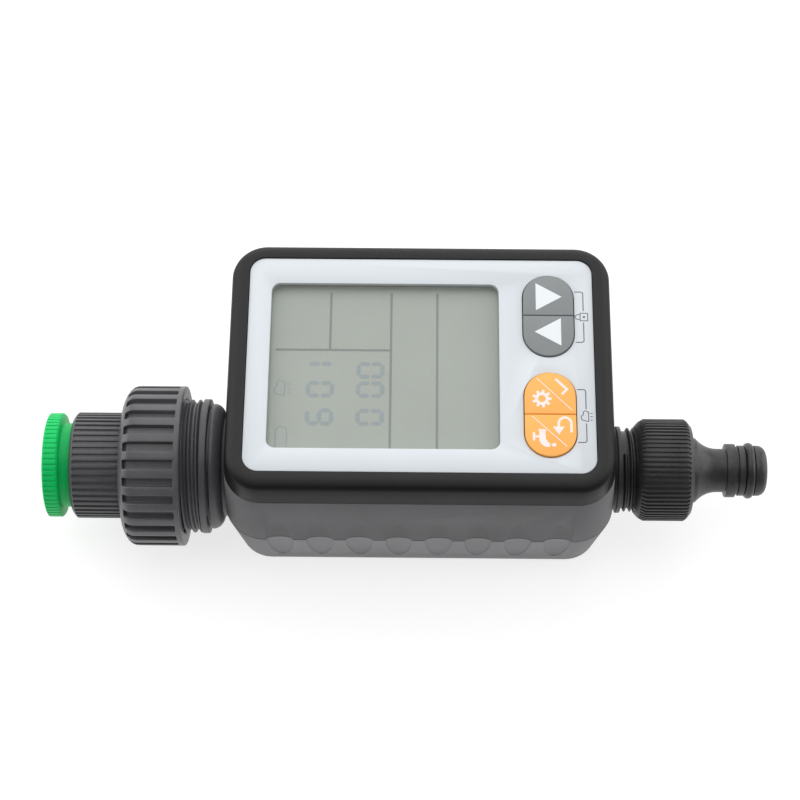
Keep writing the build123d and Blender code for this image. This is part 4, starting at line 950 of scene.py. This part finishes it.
@dataclass
class Face:
    """Face panel, display and keys with their printing."""

    key_width: float = 15.5
    key_length: float = 27.7
    key_gap: float = 0.3
    groove: float = 0.18
    sign_drop: float = 0.45
    display_shift: float = 1.4
    print_t: float = 0.035
    print_sink: float = 0.02

    def __post_init__(self) -> None:
        """Read the places from the frame."""
        self.middle = box_middle("face_panel")
        self.size = (*box_size("face_panel"), 4.8)
        self.low, self.high = box_heights("face_panel")
        self.window = (*box_size("lcd_glass"), 2.8)
        self.window_middle = box_middle("lcd_glass")
        self.lcd_top = box_heights("lcd_glass")[1]
        self.key_top = box_heights("up_key")[1]
        self.groups = {}
        for name, keys in {"upper": ("up_key", "down_key"), "lower": ("settings_key", "back_key")}.items():
            far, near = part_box(keys[0]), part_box(keys[1])
            self.groups[name] = (box_middle(keys[0])[0], (near[0].y + far[1].y) / 2 / MM)

    def at(self, x: float, y: float) -> Point:
        """Turn a place measured from the centre of the panel into the frame's axes."""
        return self.middle[0] + x, self.middle[1] + y

    def panel(self) -> None:
        """White panel with the window and the two key openings."""
        piece = to_object(plate(self.size, self.low, self.high, self.middle), "panel_sheet")
        cutters = [plate(self.window, self.low - 1, self.high + 1, self.window_middle)]
        gap = self.key_gap
        for centre in self.groups.values():
            size = (self.key_width + 2 * gap, self.key_length + 2 * gap,
                    self.key_width / 2 + gap - 0.01)
            cutters.append(plate(size, self.low - 1, self.high + 1, centre))
        carve(piece, cutters)
        round_edges(piece, 0.12, 2, 40)
        finish_piece(piece, Finish.PANEL, "housing", ["face_panel"])

    def key(self, name: str, centre: Point, side: int, finish: Finish) -> None:
        """One half of a pill-shaped key pair."""
        size = (self.key_width, self.key_length, self.key_width / 2 - 0.01)
        bm = plate(size, self.low - 2, self.key_top, centre)
        y = centre[1] + side * self.groove / 2
        geometry = list(bm.verts) + list(bm.edges) + list(bm.faces)
        bmesh.ops.bisect_plane(bm, geom=geometry, plane_co=(centre[0], y, 0), plane_no=(0, side, 0),
                               clear_inner=True)
        bmesh.ops.holes_fill(bm, edges=boundary(bm), sides=0)
        bmesh.ops.recalc_face_normals(bm, faces=bm.faces)
        piece = to_object(bm, f"{name}_cap")
        round_edges(piece, 0.35, 4, 60)
        finish_piece(piece, finish, name, [name], smooth=50)

    def print_on(self, name: str, shapes: Sequence[Sequence[Point]], base: float, finish: Finish,
                 body: str) -> None:
        """Lay thin printed shapes, given from the centre of the panel, on a surface at height base."""
        low, high = base - self.print_sink, base + self.print_t
        parts = [prism([self.at(x, y) for x, y in shape], low, high) for shape in shapes]
        finish_piece(join(name, parts), finish, body)

    def keys(self) -> None:
        """Four keys with their signs."""
        upper, lower = self.groups["upper"], self.groups["lower"]
        self.key("up_key", upper, 1, Finish.GREY_KEY)
        self.key("down_key", upper, -1, Finish.GREY_KEY)
        self.key("settings_key", lower, 1, Finish.ORANGE_KEY)
        self.key("back_key", lower, -1, Finish.ORANGE_KEY)
        top = self.key_top
        arrows = {"up_key": [(35.5, 28.1), (35.5, 18.7), (43.5, 23.4)],
                  "down_key": [(43.1, 16.0), (35.0, 11.3), (43.1, 6.6)]}
        for name, arrow in arrows.items():
            shape = [(x, y - self.sign_drop) for x, y in arrow]
            self.print_on(f"{name}_sign", [shape], top, Finish.KEY_PRINT, name)
        slash = stroke([(35.4, -5.0), (45.9, -15.6)], 0.22)
        tick = stroke([(42.9, -10.3), (44.4, -8.6), (41.0, -5.2)], 0.75)
        signs = self.cog((36.8, -11.8)) + tick + slash
        self.print_on("settings_key_sign", signs, top, Finish.WARM_PRINT, "settings_key")
        slash = stroke([(33.8, -17.6), (44.1, -27.5)], 0.22)
        turn = stroke([(45.5, -22.9)] + arc((43.6, -19.9), 1.9, 0, 180, 12) + [(41.7, -21.0)], 0.75)
        head = [[(39.9, -21.0), (43.5, -21.0), (41.7, -23.6)]]
        signs = turn + head + slash + self.tap((33.7, -21.8))
        self.print_on("back_key_sign", signs, top, Finish.WARM_PRINT, "back_key")

    @staticmethod
    def cog(centre: Point) -> list[list[Point]]:
        """Nine-toothed cog as a ring of wedges and a ring of teeth that only touch."""
        shapes = []
        for tooth in range(9):
            middle = 360 * tooth / 9
            shapes.append(arc(centre, 2.1, middle - 20, middle + 20, 4)
                          + arc(centre, 1.15, middle + 20, middle - 20, 4))
            shapes.append(arc(centre, 2.95, middle - 8, middle + 8, 2)
                          + arc(centre, 2.1, middle + 12, middle - 12, 2))
        return shapes

    @staticmethod
    def tap(corner: Point) -> list[list[Point]]:
        """Garden tap with a drop at its spout; its handle is towards -X of the given corner."""
        x, y = corner
        handle = stroke([(x + 0.5, y - 1.1), (x + 0.5, y - 3.8)], 0.7)
        stem = stroke([(x + 0.86, y - 2.5), (x + 2.08, y - 2.5)], 0.7)
        flange = stroke([(x + 1.9, y - 0.3), (x + 4.2, y - 0.55)], 0.62)
        body = [[(x + 2.1, y - 0.72), (x + 3.95, y - 0.9), (x + 4.1, y - 3.4), (x + 4.9, y - 4.6),
                 (x + 5.3, y - 4.75), (x + 5.3, y - 5.9), (x + 3.9, y - 5.85), (x + 2.9, y - 5.2),
                 (x + 2.1, y - 3.9)]]
        drop = [[(x + 5.6, y - 5.2)] + arc((x + 6.55, y - 5.2), 0.6, 120, -120, 10)]
        return handle + stem + flange + body + drop

    @staticmethod
    def cloud(corner: Point, scale: float, width: float) -> list[list[Point]]:
        """Rain cloud with its flat base along Y from the given corner and three drops below it."""
        x, y = corner
        outline = [(x, y), (x, y + 3.1 * scale)]
        outline += arc((x - 0.9 * scale, y + 2.8 * scale), 0.72 * scale, 20, 160, 5)
        outline += arc((x - 1.2 * scale, y + 1.3 * scale), 1.05 * scale, 110, 240, 6)
        shapes = stroke(outline + [(x, y)], width)
        for drop in (0.5, 1.6, 2.7):
            start, end = x + 0.5 * scale, x + 1.2 * scale
            shapes += stroke([(start, y + drop * scale), (end, y + drop * scale)], width)
        return shapes

    def brackets(self) -> None:
        """Printed brackets that join each key pair, with a lock and a rain cloud."""
        shapes = []
        for top, low, gap_low, gap_high in ((25.0, 7.6, 14.4, 18.4), (-8.4, -25.9, -19.6, -14.9)):
            upper = [(47.5, top)] + arc((49.4, top - 0.7), 0.7, 90, 0, 4) + [(50.1, gap_high)]
            lower = [(50.1, gap_low)] + arc((49.4, low + 0.7), 0.7, 0, -90, 4) + [(47.5, low)]
            shapes += stroke(upper, 0.3) + stroke(lower, 0.3)
        lock = stroke([(51.4, 15.0), (49.1, 15.0), (49.1, 17.6), (51.4, 17.6), (51.4, 15.0)], 0.26)
        keyhole = [arc((50.25, 16.3), 0.38, 0, 330, 11)]
        shackle = stroke([(48.95, 15.5)] + arc((48.3, 16.3), 0.75, -90, -270, 8) + [(48.95, 17.1)], 0.26)
        cloud = self.cloud((50.8, -19.0), 1.0, 0.26)
        signs = shapes + lock + keyhole + shackle + cloud
        self.print_on("key_brackets", signs, self.high, Finish.PANEL_EDGE, "housing")

    def display(self) -> None:
        """Liquid crystal glass with its dividing lines and figures, under a clear lens."""
        glass = plate(self.window, self.lcd_top - 2.6, self.lcd_top, self.window_middle)
        finish_piece(to_object(glass, "lcd_cell"), Finish.LCD, "housing", ["lcd_glass"])
        low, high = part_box("window_lens")
        size = (*box_size("window_lens"), 3.5)
        lens = plate(size, low.z / MM + 0.25, high.z / MM - 0.01, self.window_middle)
        finish_piece(to_object(lens, "lens_sheet"), Finish.LENS, "housing", ["window_lens"])
        shift = self.display_shift
        ends = (((-27.7, 24.2), (-27.7, 4.85)), ((-44.4, 4.4), (-9.4, 4.4)),
                ((-9.0, 24.2), (-9.0, -28.6)), ((5.2, 24.2), (5.2, -28.6)))
        lines = []
        for run in ends:
            lines += stroke([(x, y + shift) for x, y in run], 0.75)
        self.print_on("lcd_lines", lines, self.lcd_top, Finish.LCD_LINE, "housing")
        marks = []
        cells = ((-21.1, -15.4), (-11.8, -6.2), (-5.3, 0.3))
        for base, text in ((-26.1, "601"), (-10.8, "000")):
            for (left, right), figure in zip(cells, text):
                marks += self.figure(figure, base, left + shift, right + shift)
        marks += self.cloud((-41.2, -11.2 + shift), 1.45, 0.4)
        battery = [(-43.5, -29.2 + shift), (-43.5, -22.9 + shift)]
        battery += arc((-41.8, -23.2 + shift), 1.7, 170, 10, 6)
        battery += [(-40.1, -22.9 + shift), (-40.1, -29.2 + shift)]
        marks += stroke(battery, 0.42)
        self.print_on("lcd_figures", marks, self.lcd_top, Finish.LCD_MARK, "housing")

    @staticmethod
    def figure(text: str, base: float, left: float, right: float) -> list[list[Point]]:
        """Seven-segment figure that reads along +Y with its top towards -X.

        Args:
            text: The figure.
            base: X of its foot.
            left: Y of its left side.
            right: Y of its right side.

        Returns:
            One outline per lit segment.
        """
        height, thick, gap = 8.7, 1.4, 0.12
        middle = base - height / 2
        top = base - height
        half = thick / 2
        upper, lower, near, far = top + half, base - half, left + half, right - half
        rails = {"a": ((upper, near), (upper, far)), "d": ((lower, near), (lower, far)),
                 "g": ((middle, near), (middle, far)), "f": ((upper, near), (middle, near)),
                 "e": ((middle, near), (lower, near)), "b": ((upper, far), (middle, far)),
                 "c": ((middle, far), (lower, far))}
        shapes = []
        for name in SEGMENTS[text]:
            (x0, y0), (x1, y1) = rails[name]
            along = Vector((x1 - x0, y1 - y0)).normalized()
            across = Vector((-along.y, along.x)) * half
            start = Vector((x0, y0)) + along * gap
            end = Vector((x1, y1)) - along * gap
            tip = along * half
            shapes.append([tuple(start), tuple(start + tip + across), tuple(end - tip + across), tuple(end),
                           tuple(end - tip - across), tuple(start + tip - across)])
        return shapes

    def build(self) -> None:
        """Build the face."""
        self.panel()
        self.display()
        self.keys()
        self.brackets()


def stroke(points: Sequence[Point], width: float) -> list[list[Point]]:
    """Outline a line of even width with mitred corners.

    Args:
        points: Points along the middle of the line.
        width: Width of the line.

    Returns:
        One four-sided outline per run; neighbours share their mitred ends.
    """
    line = [Vector(point) for point in points]
    runs = [(b - a).normalized() for a, b in zip(line, line[1:])]
    sides = []
    for index, point in enumerate(line):
        before, after = runs[max(index - 1, 0)], runs[min(index, len(runs) - 1)]
        along = (before + after).normalized()
        across = Vector((-along.y, along.x)) * (width / 2 / max(along.dot(before), 0.3))
        sides.append((tuple(point + across), tuple(point - across)))
    return [[a[0], a[1], b[1], b[0]] for a, b in zip(sides, sides[1:])]


# ---- inner works --------------------------------------------------------------------------
@dataclass
class InnerWorks:
    """Finishes of the frame's own inner pieces."""

    finishes: tuple[tuple[Finish, tuple[str, ...]], ...] = (
        (Finish.SEAL, ("case_seal", "bush_washer", "union_washer", "stem_o_rings", "door_seal",
                       "connector_washer", "up_key_contact", "down_key_contact",
                       "settings_key_contact", "back_key_contact")),
        (Finish.STEEL, ("case_screws", "board_screws", "valve_screws", "motor_shaft", "drive_motor",
                        "gear_axles", "battery_contacts", "door_hinge_pin")),
        (Finish.BRASS, ("valve_ball", "valve_stem", "motor_pinion")),
        (Finish.NATURAL, ("output_gear", "second_gear", "first_gear", "gearbox_base", "gearbox_cover",
                          "lcd_frame", "inlet_filter")),
        (Finish.WHITE, ("ball_seats",)),
        (Finish.BOARD, ("circuit_board",)),
        (Finish.CELL, ("batteries",)),
        (Finish.COVER, ("battery_tray",)),
        (Finish.GREY_KEY, ("key_mat",)),
    )

    def dress(self, nodes: dict[str, Object]) -> None:
        """Give every kept node its finish."""
        for finish, names in self.finishes:
            for name in names:
                mesh = nodes[name].data
                mesh.materials.clear()
                mesh.materials.append(finish.material())
                LOG.info("%s: %s", name, finish.name)


# ---- studio -------------------------------------------------------------------------------
@dataclass
class Studio:
    """Pale floor, soft lights and the camera."""

    elevation: float = 65.0
    azimuth: float = 0.925
    roll: float = -0.357
    distance: float = 0.65573
    lens: float = 93.76
    aim_offset: tuple[float, float, float] = (-0.00235, -0.0009, 0.00575)
    floor_half: float = 4000
    floor_color: tuple[float, float, float, float] = (0.4, 0.4, 0.4, 1)
    floor_glow: float = 0.72
    air_glow: float = 0.3
    lamps: tuple[tuple[str, tuple[float, float, float], float, float], ...] = (
        ("overhead_light", (-0.1, 0.35, 1.2), 1.3, 7),
        ("left_light", (-1.1, 0.35, 0.4), 1.3, 11),
        ("right_light", (1.1, 0.35, 0.4), 1.3, 11),
        ("far_light", (0.0, 1.3, 0.5), 1.3, 8),
    )

    def floor(self, bounds: tuple[Vector, Vector]) -> None:
        """Big pale floor just under the object."""
        bm = bmesh.new()
        bmesh.ops.create_grid(bm, x_segments=1, y_segments=1, size=self.floor_half)
        floor = to_object(bm, "studio_floor")
        floor.data.transform(Matrix.Translation((0, 0, bounds[0].z)) @ Matrix.Scale(MM, 4))
        material = bpy.data.materials.new("studio_paper")
        material.use_nodes = True
        shader = material.node_tree.nodes["Principled BSDF"]
        shader.inputs["Base Color"].default_value = self.floor_color
        shader.inputs["Roughness"].default_value = 0.95
        shader.inputs["Emission Color"].default_value = (1, 1, 1, 1)
        shader.inputs["Emission Strength"].default_value = self.floor_glow
        floor.data.materials.append(material)
        floor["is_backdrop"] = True

    def light(self, name: str, place: tuple[float, float, float], aim: Vector, size: float,
              power: float) -> None:
        """One soft square light that looks at the object."""
        data = bpy.data.lights.new(name, "AREA")
        data.shape = "SQUARE"
        data.size = size
        data.energy = power
        lamp = bpy.data.objects.new(name, data)
        lamp.location = aim + Vector(place)
        lamp.rotation_euler = (aim - lamp.location).to_track_quat("-Z", "Y").to_euler()
        bpy.context.scene.collection.objects.link(lamp)

    def camera(self, aim: Vector) -> None:
        """Camera above the near side, looking down at the face."""
        data = bpy.data.cameras.new("studio_camera")
        data.lens = self.lens
        data.sensor_width = 36
        made = bpy.data.objects.new("studio_camera", data)
        turn = (Matrix.Rotation(math.radians(self.azimuth), 4, "Z")
                @ Matrix.Rotation(math.radians(90 - self.elevation), 4, "X")
                @ Matrix.Rotation(math.radians(self.roll), 4, "Z"))
        back = turn @ Vector((0, 0, self.distance))
        made.matrix_world = Matrix.Translation(aim + back) @ turn
        bpy.context.scene.collection.objects.link(made)
        bpy.context.scene.camera = made

    def build(self, bounds: tuple[Vector, Vector]) -> None:
        """Set the stage round the frame's box."""
        middle = (bounds[0] + bounds[1]) / 2
        self.camera(middle + Vector(self.aim_offset))
        self.floor(bounds)
        for name, place, size, power in self.lamps:
            self.light(name, place, middle, size, power)
        world = bpy.data.worlds.new("studio_air")
        world.use_nodes = True
        world.node_tree.nodes["Background"].inputs["Color"].default_value = (1, 1, 1, 1)
        world.node_tree.nodes["Background"].inputs["Strength"].default_value = self.air_glow
        bpy.context.scene.world = world
        bpy.context.scene.view_settings.view_transform = "Standard"


def corners() -> tuple[Vector, Vector]:
    """The whole object's box as two corners."""
    low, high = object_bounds()
    return Vector(low), Vector(high)


def main() -> None:
    """Build the timer's looks and the studio round the frame."""
    logging.basicConfig(level=logging.INFO)
    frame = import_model()
    cad_box = corners()
    Studio().build(cad_box)
    InnerWorks().dress(frame["nodes"])
    Housing().build()
    Face().build()
    Inlet().build()
    Outlet().build(frame["nodes"])
    visual_box = corners()
    sizes = {"cad": [list(corner) for corner in cad_box], "visual": [list(corner) for corner in visual_box]}


if __name__ == "__main__":
    main()
